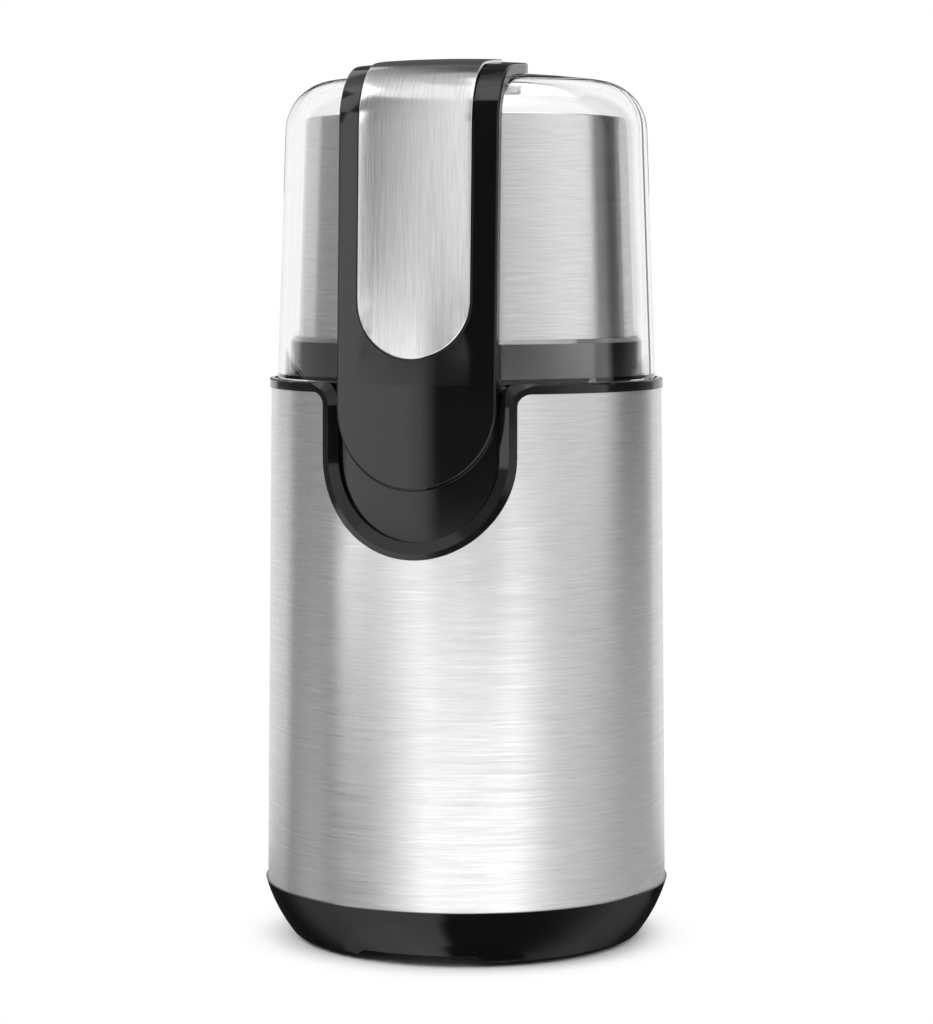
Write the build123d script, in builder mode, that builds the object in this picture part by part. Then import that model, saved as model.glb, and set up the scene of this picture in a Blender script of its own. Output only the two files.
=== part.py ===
from build123d import *
import math
import os

# A blade coffee grinder: a clear lid with a strap, a steel bowl, a motor body and a base.
# Millimetres, +Z up. The origin is on the motor's axis, on the table that the feet stand on.
# The strap faces -Y.

# Fits between pieces
running_gap = 0.08  # a shaft, pin or stem in its bore, on the radius
seat_gap = 0.1  # pieces that are fitted together and stay still
slide_gap = 0.4  # faces that slide past each other in use
rest_gap = 0.3  # a loose piece above the face that it rests on
overrun = 6.0  # how far a cut reaches past what it cuts

# Body sleeve
sleeve_foot_r = 48.6
sleeve_taper = 1.4  # how much the radius drops from foot to top
sleeve_length = 119.4
sleeve_wall = 0.6
cutout_drop = 14.7  # from the sleeve's top edge to the centre of the U
cutout_corner_r = 2.9

# Base
base_rim_z = 14.2
base_rim_proud = 0.5  # the base's rim outside the sleeve
base_lean = 7.2  # how far the side leans in to its foot
base_bulge = 0.8  # how far the side swells out from a straight line
base_wall = 2.2
base_edge_r = 3.0
base_floor_z = 9.5
base_floor_t = 2.2
spigot_h = 5.5
spigot_t = 1.8
notch_half = 17.1
notch_h = 2.6
notch_slope = 3.6  # how far each end of the notch leans in

# Feet
foot_drop = 0.5  # the feet stand this far below the skirt
foot_r = 4.3
foot_depth = 2.0  # how deep a foot sits in its post
foot_edge_r = 0.4
foot_count = 4
foot_first_angle = 45
foot_inset = 7.0  # from the skirt's foot to a foot's centre
foot_post_wall = 1.0
foot_post_lift = 0.4  # the post's end above the skirt's edge

# Cord store under the base
spool_wall = 2.0
spool_screw_lift = 0.2  # the screw heads above the table
spool_cap_t = 1.8
spool_cap_share = 0.895  # of the radius inside the foot posts
spool_share = 0.792  # of the plate's radius
spool_cap_edge_r = 0.5
spool_boss_r = 3.2
spool_screw_inset = 5.6
spool_screw_count = 3
vent_count = 8
vent_circle_share = 0.585  # of the circle of the spool's screws
vent_length_share = 0.325  # of that circle
vent_width_share = 0.48  # of a vent's length
gland_bore_r = 3.3
gland_wall = 1.5
gland_flange_w = 1.6
gland_tube_gap = 0.2  # to the inner housing
gland_flange_t = 1.4

# Top collar
lip_height = 2.4
lip_proud = 0.4
lip_edge_r = 0.5
collar_wall = 1.1
deck_drop = 1.7  # the deck below the sleeve's top edge
deck_t = 3.0
groove_floor_t = 3.0
socket_wall = 1.8
socket_depth = 6.5  # from the deck's underside to the socket's floor
socket_floor_t = 2.0
socket_hole_gap = 2.0  # round the couplers
socket_boss_gap = 0.7  # to the screw bosses
trim_w = 1.4
recess_bevel = 2.6
recess_bevel_depth = 1.7
recess_back_t = 1.8
recess_corner_rise = 1.5

# Lid
dome_taper = 2.2  # how much the radius drops from the lip to the shoulder's centre
dome_rise = 72.8  # from the lip's top to the dome's top
dome_wall = 1.8
dome_shoulder_r = 12.0
dome_crown_bow = 1.9  # how far the crown swells above the shoulder
dome_step_drop = 0.2  # the step to the foot lies this far below the lip's top
dome_foot_step = 0.7
dome_foot_h = 3.4
press_travel = 1.5

# Strap and inlay
strap_gap = 0.1
strap_t = 2.4
strap_half = 19.0
recess_side_gap = 0.3  # between the strap's edge and the foot of the bevel
strap_end_drop = 24.6  # the strap's lower end below the lip's top
strap_end_y = -17.4  # the centre of its round end on top of the dome
strap_edge_r = 0.7
inlay_margin = 5.6  # from the strap's edge to the inlay
inlay_end_rise = 5.7  # the inlay's lower end above the lip's top
inlay_setback = 1.9  # the inlay's round end behind the strap's
inlay_depth = 0.6
inlay_proud = 0.6
inlay_gap = 0.4
inlay_edge_r = 0.3
strap_screw_inset = 3.6  # from the strap's round end
strap_screw_angle = 36.5
strap_screw_rise = 18.0  # the front screw above the lip's top
strap_screw_r = 1.3
strap_screw_skin = 0.6  # left between a screw and the inlay's pocket
strap_screw_head_r = 3.2
strap_screw_head_h = 1.5

# Bowl
bowl_taper = 2.2  # how much the radius drops from foot to rim
bowl_headroom = 10.9  # from the bowl's rim to the dome's top
bowl_wall = 0.8
bowl_corner_r = 5.0
bowl_lip_r = 0.3
ring_wall = 1.6
ring_height = 13.7
ring_chamfer = 1.0
ring_floor_t = 3.9
ring_hub_r = 10.0
ring_hub_drop = 3.3
boss_wall = 3.5
boss_clear = 1.5  # above the socket's floor
lug_reach = 2.7
lug_t = 2.7
lug_angle = 20
lug_count = 3
lug_slot_angle = 26
lug_twist = 30
bush_r = 6.0
bush_flange_r = 8.5
bush_flange_t = 1.2
bush_tail = 0.4  # how far the bush stands out below its nut
nut_across = 17.0
nut_t = 2.6
seal_r = 6.6
seal_t = 1.8

# Blade and couplers
spindle_r = 3.0
spindle_tip = 1.9  # the spindle's end above the blade's nut
blade_hub_r = 6.5
blade_t = 1.5
blade_rise = 5.2  # the blade's underside above the bowl's floor
blade_clear = 8.8  # from the bowl's foot radius to the blade's tip
blade_root_w = 11.0
blade_tip_w = 7.0
blade_tip_lift = 3.4
blade_tip_angle = 18
blade_mid_share = 0.5
washer_r = 5.4
washer_t = 0.8
blade_nut_across = 9.0
blade_nut_t = 4.4
coupler_r = 12.0
coupler_hub_r = 6.0
coupler_plate_t = 2.5
coupler_gap = 0.5  # between the two halves
dog_count = 3
dog_angle = 50
dog_height = 6.3
dog_root_r = 6.4
coupler_hub_h = 3.4
coupler_clear = 0.7  # above the upper bearing

# Press pins and switch
pin_count = 3
pin_first_angle = 90
pin_r = 1.1
pin_neck_r = 0.8
pin_length = 12.0
guide_drop = 13.0
guide_depth = 4.2
guide_width = 7.0
guide_floor_t = 1.2
spring_wire_r = 0.2
spring_turns = 5
switch_w = 16.0
switch_cover = 1.3  # from the button's axis to the switch's face
switch_h = 9.0
switch_stand = 0.4  # off the inner housing's tube
switch_gap = 3.0  # from the guide to the switch
button_r = 0.95
button_depth = 2.0
switch_screw_x = 5.0
switch_screw_r = 0.9
switch_screw_head_r = 1.7
switch_screw_head_h = 1.2
switch_screw_bite = 2.2
switch_pad_t = 2.6
terminal_w = 3.2
terminal_t = 0.6
terminal_h = 4.0

# Inner housing
tube_guide_gap = 2.6  # to the pins' guides
tube_wall = 1.8
base_boss_r = 3.6
base_boss_h = 12.7
base_boss_inset = 4.2
base_screw_angles = (0, 180, 270)
collar_boss_r = 2.9
collar_boss_h = 12.0
collar_boss_first_angle = 30
collar_boss_count = 3
shelf_t = 2.5
shelf_hole_gap = 1.1  # round the stator
shelf_boss_r = 3.0
shelf_boss_h = 6.0
window_count = 6
window_w = 14.0
window_h = 20.0
window_z = 40.0
wire_hole_w = 12.0
wire_hole_h = 5.0

# Motor
mount_t = 2.0
mount_gap = 0.2  # to the inner housing
mount_inset = 2.7  # from the plate's edge
mount_count = 3
mount_first_angle = 30
plate_t = 2.0
plate_gap = 0.6  # to the inner housing
shaft_r = 2.5
bearing_r = 6.0
bearing_h = 5.6
cup_wall = 1.6
cup_floor_t = 1.4
fan_share = 0.87  # of the stator yoke's inside radius
fan_plate_t = 1.2
fan_h = 5.0
fan_hub_r = 5.5
fan_blade_t = 1.2
fan_blade_count = 12
fan_drop = 1.2  # below the motor plate
stack_h = 22.0
fan_coil_gap = 1.4
stator_share = 0.811  # of the inner housing's inside radius
stator_flat_depth = 1.2
yoke_w = 5.2
stator_bore_share = 0.593  # of the yoke's inside radius, as the next two
pole_half_share = 0.316
pole_shoe_share = 0.119
pole_shoe_angle = 116
coil_share = 0.198  # a coil's width, of the yoke's inside radius
coil_sink = 1.0  # how far a coil reaches below the back of the shoe
coil_clear = 0.4  # to the yoke
coil_end_h = 5.6
air_gap = 0.4
slot_count = 12
tooth_w = 0.6  # the narrowest part of a tooth
slot_depth_share = 0.295  # of the armature's radius
slot_mouth = 1.4
winding_share = 0.89  # of the armature's radius
winding_end_h = 5.4
winding_edge_r = 2.0
commutator_share = 0.616  # of the armature's radius
commutator_h = 13.0
commutator_gap = 2.2  # below the windings
riser_step = 1.4  # outside the commutator
riser_h = 2.2
segment_gap = 0.5
segment_depth = 0.8
bracket_t = 3.0
commutator_clear = 3.4  # above the bracket's bar
bracket_w = 16.0
leg_w = 12.0
leg_t = 5.0
bolt_r = 1.5
bolt_head_r = 2.8
bolt_head_h = 1.8
brush_plate_t = 2.4
brush_plate_share = 0.85  # of the yoke's inside radius
brush_plate_hole_gap = 0.6  # round the commutator
brush_w = 5.0
brush_length_share = 0.65  # of its holder
brush_wall = 1.4
holder_overhang = 0.8  # past the brush plate's edge
brush_drop = 3.7  # the brushes' axis below the commutator's riser
holder_foot_w = 6.0
brush_spring_r = 1.6

# Screws
screw_r = 1.4
screw_head_r = 2.7
screw_head_h = 1.8
screw_slot_share = 0.35
screw_slot_depth_share = 0.45
screw_edge_share = 0.3
screw_end_gap = 1.0  # from a screw's end to the end of its hole

# Lead wires
wire_r = 0.9
wire_bend_r = 3.0
wire_x = 4.2
wire_lane_gap = 1.0  # to the stator
wire_lead = 10.0
gland_wire_x = 1.7

# Heights worked out from the sizes above
foot_post_z = foot_drop + foot_post_lift
base_floor_top = base_floor_z + base_floor_t
spool_cap_z = screw_head_h + spool_screw_lift
spool_top = spool_cap_z + spool_cap_t
sleeve_top_z = base_rim_z + sleeve_length
cutout_z = sleeve_top_z - cutout_drop
lip_z = sleeve_top_z + seat_gap
lip_top_z = sleeve_top_z + lip_height
dome_apex_z = lip_top_z + dome_rise
dome_step_z = lip_top_z - dome_step_drop
dome_foot_z = dome_step_z - dome_foot_h
ledge_z = dome_step_z - press_travel - rest_gap
deck_z = sleeve_top_z - deck_drop
deck_under_z = deck_z - deck_t
groove_z = deck_under_z
collar_under_z = groove_z - groove_floor_t
socket_floor_z = deck_under_z - socket_depth
ring_z = deck_z + rest_gap
ring_floor_top = ring_z + ring_floor_t
hub_z = ring_z - ring_hub_drop
boss_z = socket_floor_z + boss_clear
lug_z = deck_under_z - slide_gap - lug_t
bowl_z = ring_floor_top + seat_gap
bowl_floor_top = bowl_z + bowl_wall
bowl_rim_z = dome_apex_z - bowl_headroom
bush_z = hub_z - nut_t - bush_tail
blade_z = bowl_floor_top + blade_rise
blade_top = blade_z + blade_t
washer_z = blade_top + seat_gap
nut_z = washer_z + washer_t + seat_gap
spindle_top_z = nut_z + blade_nut_t + spindle_tip
driven_plate_top = bush_z - coupler_gap
driven_plate_z = driven_plate_top - coupler_plate_t
driving_plate_top = driven_plate_z - dog_height
driving_plate_z = driving_plate_top - coupler_plate_t
driving_hub_z = driving_plate_z - coupler_hub_h
guide_z = collar_under_z - guide_drop
lift_pin_z = dome_foot_z - pin_length
switch_top_z = guide_z - switch_gap
switch_z = switch_top_z - switch_h
button_top_z = switch_top_z + press_travel + slide_gap
tube_z = base_floor_top + seat_gap
tube_top_z = collar_under_z - seat_gap
plate_top = driving_hub_z - coupler_clear - bearing_h
plate_z = plate_top - plate_t
shelf_top_z = plate_z - mount_t
shelf_z = shelf_top_z - shelf_t
fan_top = plate_z - fan_drop
fan_z = fan_top - fan_h
stator_top = fan_z - fan_coil_gap - coil_end_h - slide_gap
stator_z = stator_top - stack_h
winding_z = stator_z - winding_end_h
commutator_top = winding_z - commutator_gap
commutator_z = commutator_top - commutator_h
bracket_top = commutator_z - commutator_clear
bracket_z = bracket_top - bracket_t
lower_cup_z = bracket_z - bearing_h
brush_plate_z = bracket_top + seat_gap
brush_plate_top = brush_plate_z + brush_plate_t
brush_z = commutator_top - riser_h - brush_drop

# Radii, widths and places worked out from the sizes above
sleeve_top_r = sleeve_foot_r - sleeve_taper
recess_half = strap_half + recess_side_gap
cutout_half = recess_half + trim_w + recess_bevel
inlay_half = strap_half - inlay_margin
inlay_end_y = strap_end_y - inlay_setback
base_rim_r = sleeve_foot_r + base_rim_proud
base_foot_r = base_rim_r - base_lean
foot_circle_r = base_foot_r - foot_inset
foot_post_r = foot_r + seat_gap + foot_post_wall
spool_cap_r = (foot_circle_r - foot_post_r) * spool_cap_share
spool_r = spool_cap_r * spool_share
spool_screw_circle_r = spool_r - spool_screw_inset
vent_circle_r = spool_screw_circle_r * vent_circle_share
vent_length = spool_screw_circle_r * vent_length_share
vent_width = vent_length * vent_width_share
collar_r = sleeve_top_r - sleeve_wall - seat_gap
collar_in_r = collar_r - collar_wall
dome_foot_r = collar_in_r - slide_gap
dome_r = dome_foot_r + dome_foot_step
dome_top_r = dome_r - dome_taper
lip_in_r = dome_r + rest_gap
strap_back_r = dome_r + strap_gap
recess_r = strap_back_r - slide_gap
deck_r = dome_foot_r - dome_wall - slide_gap
ring_r = deck_r - rest_gap
ring_in_r = ring_r - ring_wall
bowl_foot_r = ring_in_r - seat_gap
bowl_rim_r = bowl_foot_r - bowl_taper
blade_reach = bowl_foot_r - blade_clear
pin_circle_r = dome_foot_r - dome_wall / 2
tube_r = pin_circle_r - guide_depth / 2 - tube_guide_gap
tube_in_r = tube_r - tube_wall
switch_y = tube_r + switch_stand
switch_t = pin_circle_r + switch_cover - switch_y
collar_boss_circle_r = tube_r - tube_wall / 2
base_boss_circle_r = tube_in_r - base_boss_inset
socket_out_r = collar_boss_circle_r - collar_boss_r - socket_boss_gap
socket_r = socket_out_r - socket_wall
lug_r = socket_r - slide_gap
boss_r = lug_r - lug_reach
deck_hole_r = boss_r + slide_gap
socket_hole_r = coupler_r + socket_hole_gap
gland_neck_r = gland_bore_r + gland_wall
gland_flange_r = gland_neck_r + gland_flange_w
gland_y = tube_in_r - gland_flange_r - gland_tube_gap
plate_r = tube_in_r - plate_gap
mount_circle_r = plate_r - mount_inset
mount_r = tube_in_r - mount_circle_r - mount_gap
stator_r = tube_in_r * stator_share
shelf_hole_r = stator_r + shelf_hole_gap
stator_flat = stator_r - stator_flat_depth
stator_window_r = stator_r - yoke_w
stator_bore_r = stator_window_r * stator_bore_share
pole_half = stator_window_r * pole_half_share
pole_shoe_t = stator_window_r * pole_shoe_share
shoe_r = stator_bore_r + pole_shoe_t
bolt_x = (stator_window_r + stator_flat) / 2
fan_r = stator_window_r * fan_share
coil_w = stator_window_r * coil_share
coil_low_y = shoe_r - coil_sink
coil_half = pole_half + slide_gap + coil_w
coil_high_y = math.sqrt((stator_window_r - coil_clear) ** 2 - coil_half**2)
armature_r = stator_bore_r - air_gap
slot_depth = armature_r * slot_depth_share
slot_circle_r = armature_r - slot_depth
slot_r = slot_circle_r * math.sin(math.pi / slot_count) - tooth_w / 2
winding_r = armature_r * winding_share
commutator_r = armature_r * commutator_share
riser_r = commutator_r + riser_step
brush_plate_r = stator_window_r * brush_plate_share
brush_plate_hole_r = riser_r + brush_plate_hole_gap
cup_r = bearing_r + seat_gap + cup_wall
wire_lane_y = stator_r + wire_r + wire_lane_gap

# Lengths of the screws, from the face under the head to near the end of the hole
base_screw_length = tube_z + base_boss_h - screw_end_gap - base_floor_z
collar_screw_z = deck_z - screw_head_h - rest_gap
collar_screw_length = collar_screw_z - tube_top_z + collar_boss_h - screw_end_gap
mount_screw_length = plate_top - shelf_z + shelf_boss_h - screw_end_gap
spool_screw_length = base_floor_z - spool_cap_z - screw_end_gap

# The dome's outline: a leaning side, a round shoulder and a flat crown, all tangent
shoulder_z = dome_apex_z - dome_shoulder_r - dome_crown_bow
dome_lean = math.atan2(dome_r - dome_top_r, shoulder_z - dome_step_z)
shoulder_x = dome_top_r - dome_shoulder_r / math.cos(dome_lean)
crown_drop = dome_shoulder_r + dome_crown_bow
crown_r = (shoulder_x**2 + crown_drop**2 - dome_shoulder_r**2) / (2 * dome_crown_bow)
crown_z = dome_apex_z - crown_r
crown_angle = math.asin(shoulder_x / (crown_r - dome_shoulder_r))


def sleeve_radius(z):
    """The sleeve's outer radius at a height."""
    return sleeve_foot_r + (sleeve_top_r - sleeve_foot_r) * (z - base_rim_z) / sleeve_length


def polar(radius, angle):
    """The point at a radius and an angle in degrees."""
    return radius * math.cos(math.radians(angle)), radius * math.sin(math.radians(angle))


def dome_side_radius(z, out):
    """The radius of the dome's side, moved out square to itself, at a height."""
    return dome_r - (z - dome_step_z) * math.tan(dome_lean) + out / math.cos(dome_lean)


def dome_crown_height(radius, out):
    """The height of the dome's crown, moved out, at a radius."""
    return crown_z + math.sqrt((crown_r + out) ** 2 - radius**2)


def dome_outline(low_z, out):
    """The dome's outline moved out square to itself, from low_z up to the axis."""
    shoulder_r = dome_shoulder_r + out
    mid_angle = (dome_lean + math.pi / 2 - crown_angle) / 2
    step = (dome_side_radius(dome_step_z, out), dome_step_z)
    side_top = (
        shoulder_x + shoulder_r * math.cos(dome_lean),
        shoulder_z + shoulder_r * math.sin(dome_lean),
    )
    shoulder_mid = (
        shoulder_x + shoulder_r * math.cos(mid_angle),
        shoulder_z + shoulder_r * math.sin(mid_angle),
    )
    join = (
        shoulder_x + shoulder_r * math.sin(crown_angle),
        shoulder_z + shoulder_r * math.cos(crown_angle),
    )
    crown_mid_r = (crown_r + out) * math.sin(crown_angle / 2)
    crown_mid = (crown_mid_r, dome_crown_height(crown_mid_r, out))
    with BuildLine() as outline:
        if low_z < dome_step_z:
            Line((step[0], low_z), step)
        Line(step, side_top)
        ThreePointArc(side_top, shoulder_mid, join)
        ThreePointArc(join, crown_mid, (0, dome_apex_z + out))
    return outline.line


def dome_band(low_z, inner, outer):
    """The face between two outlines of the dome, to be turned about the axis."""
    inner_r = dome_side_radius(dome_step_z, inner)
    outer_r = dome_side_radius(dome_step_z, outer)
    with BuildSketch(Plane.XZ) as band:
        with BuildLine():
            add(dome_outline(low_z, inner))
            add(dome_outline(low_z, outer))
            Line((inner_r, low_z), (outer_r, low_z))
            Line((0, dome_apex_z + inner), (0, dome_apex_z + outer))
        make_face()
    return band.sketch


def strap_shape(inner, outer, half, low_z, end_y):
    """A band that follows the dome from the front over the top, with two round ends."""
    with BuildPart() as strap:
        revolve(dome_band(low_z - overrun, inner, outer), axis=Axis.Z)
        front_y = dome_r + outer + overrun
        with BuildSketch(Plane.XZ.offset(-(half + end_y) - overrun)):
            with Locations((0, low_z + half)):
                Circle(half)
            with Locations((0, low_z + half)):
                Rectangle(2 * half, dome_apex_z, align=(Align.CENTER, Align.MIN))
        extrude(amount=front_y + half + end_y + overrun, mode=Mode.INTERSECT)
        with BuildSketch(Plane.XY.offset(low_z - overrun)):
            with Locations((0, end_y)):
                Circle(half)
                Rectangle(2 * half, front_y, align=(Align.CENTER, Align.MAX))
        extrude(amount=dome_apex_z, mode=Mode.INTERSECT)
    return strap.part


def rim_edges(part):
    """The edges of a strap between its outer faces and its walls."""
    outer = part.faces().filter_by(lambda face: face.normal_at().dot(Vector(0, -1, 1)) > 0.5)
    return outer.edges() & (part.faces() - outer).edges()


def u_outline(half, corner_r, shoulder):
    """The cut-out seen from the front: a slot with a round foot that flares at its shoulder."""
    corner_z = shoulder - corner_r
    corner_mid = half + corner_r * (1 - math.cos(math.pi / 4))
    corner_mid_z = shoulder - corner_r * (1 - math.sin(math.pi / 4))
    with BuildSketch(Plane.XZ) as outline:
        with BuildLine():
            ThreePointArc((-half, cutout_z), (0, cutout_z - half), (half, cutout_z))
            Line((half, cutout_z), (half, corner_z))
            ThreePointArc((half, corner_z), (corner_mid, corner_mid_z), (half + corner_r, shoulder))
            Polyline(
                (half + corner_r, shoulder),
                (half + corner_r, shoulder + overrun),
                (-half - corner_r, shoulder + overrun),
                (-half - corner_r, shoulder),
            )
            ThreePointArc((-half - corner_r, shoulder), (-corner_mid, corner_mid_z), (-half, corner_z))
            Line((-half, corner_z), (-half, cutout_z))
        make_face()
    return outline.sketch


def turned(points):
    """A closed outline of radii and heights, to be turned about the axis."""
    with BuildSketch(Plane.XZ) as outline:
        with BuildLine():
            Polyline(*points, close=True)
        make_face()
    return outline.sketch


def pan_screw(shank_r, length, head_r, head_h):
    """A slotted screw that hangs from its head: the head's underside is at z = 0."""
    with BuildPart() as screw:
        Cylinder(shank_r, length, align=(Align.CENTER, Align.CENTER, Align.MAX))
        Cylinder(head_r, head_h, align=(Align.CENTER, Align.CENTER, Align.MIN))
        fillet(screw.edges().group_by(Axis.Z)[-1], radius=head_h * screw_edge_share)
        with BuildSketch(Plane.XY.offset(head_h)):
            Rectangle(2 * head_r, head_r * screw_slot_share)
        extrude(amount=-head_h * screw_slot_depth_share, mode=Mode.SUBTRACT)
    return screw.part


def sector(r_in, r_out, middle, width):
    """A part of a ring in plan, by its middle angle and its width in degrees."""
    with BuildSketch() as shape:
        with BuildLine():
            inside = CenterArc((0, 0), r_in, middle - width / 2, width)
            outside = CenterArc((0, 0), r_out, middle - width / 2, width)
            Line(inside @ 0, outside @ 0)
            Line(inside @ 1, outside @ 1)
        make_face()
    return shape.sketch


def coil_spring(coil_r, wire_r, turns, length):
    """A coil spring that stands on z = 0, inside its length."""
    rise = length - 2 * wire_r
    with BuildPart() as spring:
        with BuildLine() as wire:
            Helix(pitch=rise / turns, height=rise, radius=coil_r, center=(0, 0, wire_r))
        with BuildSketch(Plane(origin=wire.line @ 0, z_dir=wire.line % 0)):
            Circle(wire_r)
        sweep(is_frenet=True)
    return spring.part


# Where the strap screws sit: their heads lie inside the dome, and local +Z points out of it
strap_low_z = lip_top_z - strap_end_drop
strap_out = strap_gap + strap_t
strap_screw_bite = strap_t - inlay_depth - strap_screw_skin
strap_screw_length = dome_wall + strap_gap + strap_screw_bite
strap_screw_x, strap_screw_lead = polar(strap_half - strap_screw_inset, strap_screw_angle)
strap_screw_y = strap_end_y + strap_screw_lead
top_screw_reach = math.hypot(strap_screw_x, strap_screw_y) + strap_screw_head_r
top_screw_z = dome_crown_height(top_screw_reach, -dome_wall) - seat_gap
front_screw_z = lip_top_z + strap_screw_rise
front_screw_in_r = dome_side_radius(front_screw_z + strap_screw_head_r, -dome_wall)
front_screw_y = seat_gap - math.sqrt(front_screw_in_r**2 - strap_screw_head_r**2)
strap_screw_places = [
    Location((-strap_screw_x, strap_screw_y, top_screw_z)),
    Location((strap_screw_x, strap_screw_y, top_screw_z)),
    Location((0, front_screw_y, front_screw_z), (90, 0, 0)),
]

os.makedirs("parts", exist_ok=True)

# Clear dome of the lid
with BuildPart() as lid_dome:
    revolve(dome_band(dome_step_z, -dome_wall, 0), axis=Axis.Z)
    foot_in_r = dome_foot_r - dome_wall
    foot_join_z = dome_step_z + dome_wall - dome_foot_step
    revolve(
        turned(
            [
                (foot_in_r, dome_foot_z),
                (dome_foot_r, dome_foot_z),
                (dome_foot_r, dome_step_z),
                (dome_side_radius(dome_step_z, 0), dome_step_z),
                (dome_side_radius(foot_join_z, -dome_wall), foot_join_z),
                (foot_in_r, dome_step_z),
            ]
        ),
        axis=Axis.Z,
    )
    with Locations(*strap_screw_places):
        Cylinder(strap_screw_r + seat_gap, 2 * overrun, mode=Mode.SUBTRACT)
lid_dome.part.label = "lid_dome"
export_step(lid_dome.part, "parts/lid_dome.step")

# Strap over the dome, with a pocket for the inlay
inlay_low_z = lip_top_z + inlay_end_rise
inlay_pocket = strap_shape(
    strap_out - inlay_depth,
    strap_out + overrun,
    inlay_half + inlay_gap,
    inlay_low_z - inlay_gap,
    inlay_end_y,
)
strap_blank = strap_shape(strap_gap, strap_out, strap_half, strap_low_z, strap_end_y)
with BuildPart() as lid_strap:
    add(strap_blank)
    fillet(rim_edges(lid_strap.part), radius=strap_edge_r)
    add(inlay_pocket, mode=Mode.SUBTRACT)
    with Locations(*strap_screw_places):
        Cylinder(
            strap_screw_r + seat_gap,
            strap_screw_length + seat_gap,
            align=(Align.CENTER, Align.CENTER, Align.MIN),
            mode=Mode.SUBTRACT,
        )
lid_strap.part.label = "lid_strap"
export_step(lid_strap.part, "parts/lid_strap.step")

# Steel inlay in the strap
inlay_blank = strap_shape(
    strap_out - inlay_depth + seat_gap, strap_out + inlay_proud, inlay_half, inlay_low_z, inlay_end_y
)
with BuildPart() as strap_inlay:
    add(inlay_blank)
    fillet(rim_edges(strap_inlay.part), radius=inlay_edge_r)
strap_inlay.part.label = "strap_inlay"
export_step(strap_inlay.part, "parts/strap_inlay.step")

# Screws that hold the strap
strap_screw = pan_screw(strap_screw_r, strap_screw_length, strap_screw_head_r, strap_screw_head_h)
with BuildPart() as strap_screws:
    with Locations(*strap_screw_places):
        add(strap_screw, rotation=(180, 0, 0))
strap_screws.part.label = "strap_screws"
export_step(strap_screws.part, "parts/strap_screws.step")

# Steel cup of the bowl
with BuildPart() as grinding_bowl:
    with BuildSketch(Plane.XZ):
        with BuildLine():
            Polyline(
                (0, bowl_z), (bowl_foot_r, bowl_z), (bowl_rim_r, bowl_rim_z), (0, bowl_rim_z), close=True
            )
        make_face()
    revolve(axis=Axis.Z)
    fillet(grinding_bowl.edges().filter_by(GeomType.CIRCLE).group_by(Axis.Z)[0], radius=bowl_corner_r)
    offset(amount=-bowl_wall, openings=grinding_bowl.faces().sort_by(Axis.Z)[-1])
    fillet(grinding_bowl.edges().group_by(Axis.Z)[-1], radius=bowl_lip_r)
    with Locations((0, 0, bowl_z)):
        Cylinder(bush_r + seat_gap, 2 * overrun, mode=Mode.SUBTRACT)
grinding_bowl.part.label = "grinding_bowl"
export_step(grinding_bowl.part, "parts/grinding_bowl.step")

# Plastic ring under the cup: it rests on the collar's deck, and its lugs lock below the deck
ring_top_z = ring_z + ring_height
with BuildPart() as bowl_ring:
    revolve(
        turned(
            [
                (bush_r + seat_gap, hub_z),
                (ring_hub_r, hub_z),
                (ring_hub_r, ring_z),
                (boss_r - boss_wall, ring_z),
                (boss_r - boss_wall, boss_z),
                (boss_r, boss_z),
                (boss_r, ring_z),
                (ring_r, ring_z),
                (ring_r, ring_top_z - ring_chamfer),
                (ring_r - ring_chamfer, ring_top_z),
                (ring_in_r, ring_top_z),
                (ring_in_r, ring_floor_top),
                (bush_r + seat_gap, ring_floor_top),
            ]
        ),
        axis=Axis.Z,
    )
    with BuildSketch(Plane.XY.offset(lug_z)):
        with PolarLocations(0, lug_count):
            add(sector(boss_r - boss_wall / 2, lug_r, 0, lug_angle))
    extrude(amount=lug_t)
bowl_ring.part.label = "bowl_ring"
export_step(bowl_ring.part, "parts/bowl_ring.step")

# Bush that carries the blade's spindle
with BuildPart() as bowl_bush:
    revolve(
        turned(
            [
                (spindle_r + running_gap, bush_z),
                (bush_r, bush_z),
                (bush_r, bowl_floor_top),
                (bush_flange_r, bowl_floor_top),
                (bush_flange_r, bowl_floor_top + bush_flange_t),
                (spindle_r + running_gap, bowl_floor_top + bush_flange_t),
            ]
        ),
        axis=Axis.Z,
    )
bowl_bush.part.label = "bowl_bush"
export_step(bowl_bush.part, "parts/bowl_bush.step")

# Nut that clamps the bush from below
with BuildPart() as bush_nut:
    with BuildSketch(Plane.XY.offset(hub_z - nut_t)):
        RegularPolygon(nut_across / 2, 6, major_radius=False)
        Circle(bush_r + seat_gap, mode=Mode.SUBTRACT)
    extrude(amount=nut_t)
bush_nut.part.label = "bush_nut"
export_step(bush_nut.part, "parts/bush_nut.step")

# Seal on top of the bush
with BuildPart() as shaft_seal:
    with BuildSketch(Plane.XY.offset(bowl_floor_top + bush_flange_t)):
        Circle(seal_r)
        Circle(spindle_r + running_gap, mode=Mode.SUBTRACT)
    extrude(amount=seal_t)
    chamfer(shaft_seal.edges().group_by(Axis.Z)[-1].sort_by(SortBy.RADIUS)[-1], length=seal_t / 2)
shaft_seal.part.label = "shaft_seal"
export_step(shaft_seal.part, "parts/shaft_seal.step")

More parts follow.
